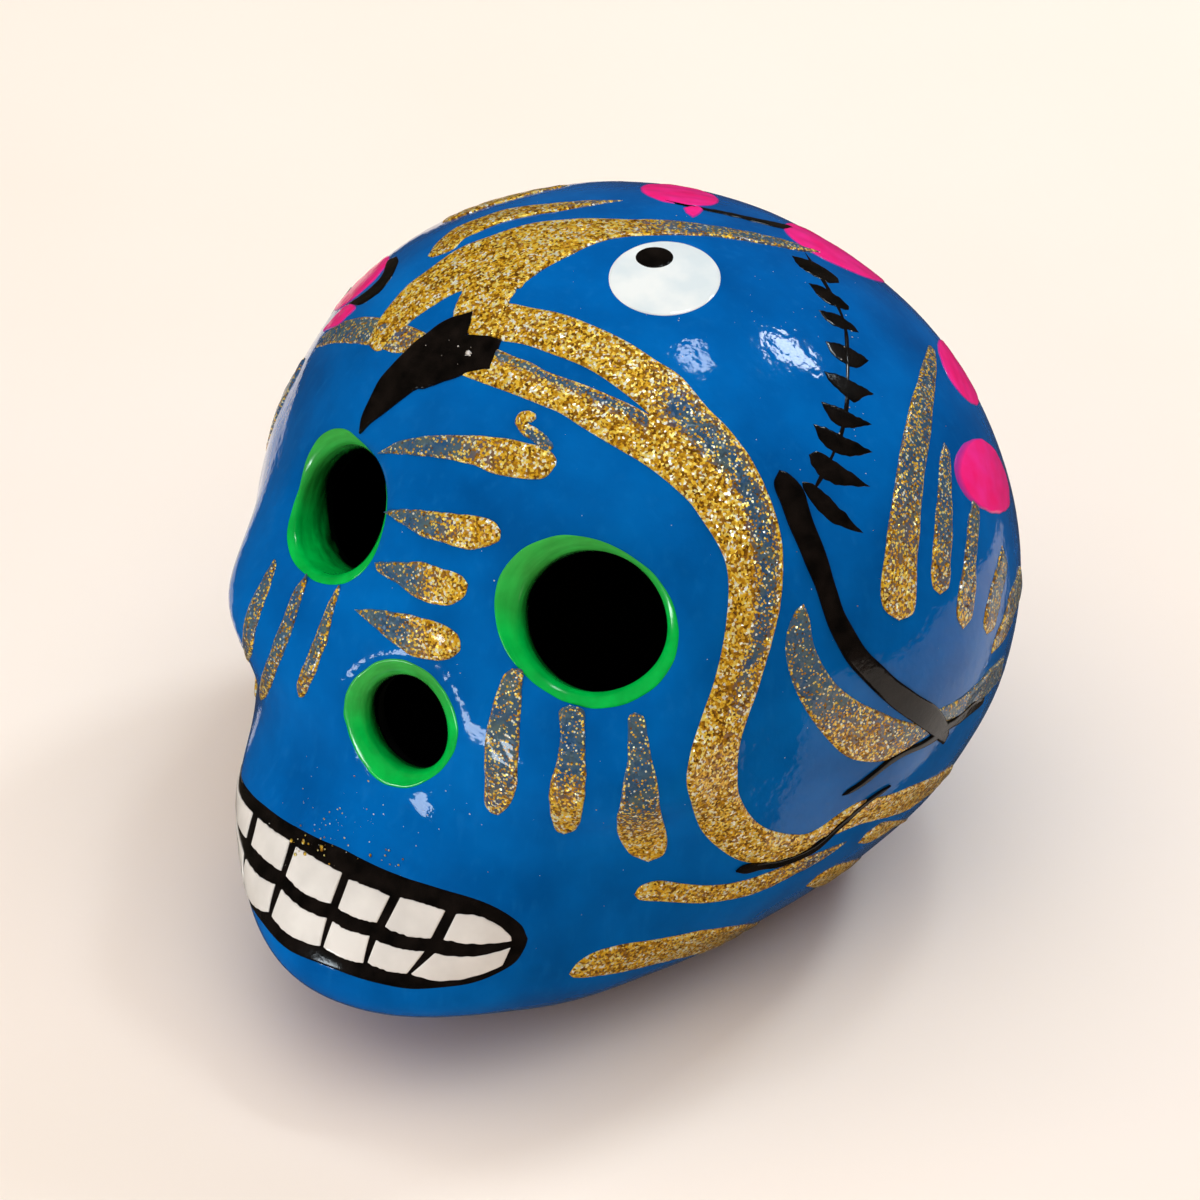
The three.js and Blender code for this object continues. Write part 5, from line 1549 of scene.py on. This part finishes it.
def table():
    """Cream table top with a faint soft mottling. Gloss mirrors only its parts near the skull, one on each
    side, and the rest is a piece of its own."""
    material, tree = new_recipe("cream table")
    colour = ramp(tree, spots(tree, 60, 2), (0.3, linear(251, 240, 230)), (0.7, linear(253, 242, 233)))
    surfaced(material, tree, base_color=colour, roughness=0.8, specular_ior_level=0.1)
    columns = len(TABLE_ACROSS)
    cells = [(i, j) for i in range(columns - 1) for j in range(len(TABLE_AWAY) - 1)]
    corners = np.array([[x, y, 0.0] for y in TABLE_AWAY for x in TABLE_ACROSS])
    for name, mirrored in (("table", True), ("table_beyond", False)):
        starts = [j * columns + i for i, j in cells if ((i, j) in NEAR_SKULL) == mirrored]
        faces = [[k, k + 1, k + 1 + columns, k + columns] for k in starts]
        top = new_piece(name, corners, faces, material, smooth=False)
        top.visible_glossy = mirrored


def lamp(name, mirrored, turn_deg, rise_deg, away, width, height, watts, colour):
    """A lamp with four corners in a direction from the skull's middle, facing it, and whether gloss
    mirrors it."""
    data = bpy.data.lights.new(name, "AREA")
    data.shape = "RECTANGLE"
    data.size = width * METRES
    data.size_y = height * METRES
    data.energy = watts
    data.color = colour
    piece = bpy.data.objects.new(name, data)
    bpy.context.scene.collection.objects.link(piece)
    piece.visible_glossy = mirrored
    way = turned(turn_deg, rise_deg)
    side = unit(np.cross([0, 0, 1], way))
    up = np.cross(way, side)
    place = (LAMP_AIM + way * away) * METRES
    rows = [[side[k], up[k], way[k], place[k]] for k in range(3)]
    piece.matrix_world = Matrix(rows + [[0, 0, 0, 1]])


# Nearest and farthest distance that the camera sees, in metres
CLIP_START, CLIP_END = 0.05, 20


def camera():
    """The camera that took the photograph, as fitted to it."""
    data = bpy.data.cameras.new("camera")
    data.sensor_width = SENSOR_WIDTH
    data.lens = FOCAL_PX / PHOTO_SIDE_PX * SENSOR_WIDTH
    data.clip_start, data.clip_end = CLIP_START, CLIP_END
    piece = bpy.data.objects.new("camera", data)
    bpy.context.scene.collection.objects.link(piece)
    place = camera_place * METRES
    rows = [[camera_right[k], camera_up[k], camera_back[k], place[k]] for k in range(3)]
    piece.matrix_world = Matrix(rows + [[0, 0, 0, 1]])
    bpy.context.scene.camera = piece


scene = bpy.context.scene
scene.view_settings.view_transform = "Standard"
world = bpy.data.worlds.new("room")
scene.world = world
world.use_nodes = True
background = world.node_tree.nodes["Background"]
background.inputs["Color"].default_value = ROOM_COLOUR
background.inputs["Strength"].default_value = ROOM_STRENGTH
table()
for name, values in LAMPS.items():
    lamp(name, True, *values)
for name, values in FILL_LAMPS.items():
    lamp(name, False, *values)
camera()
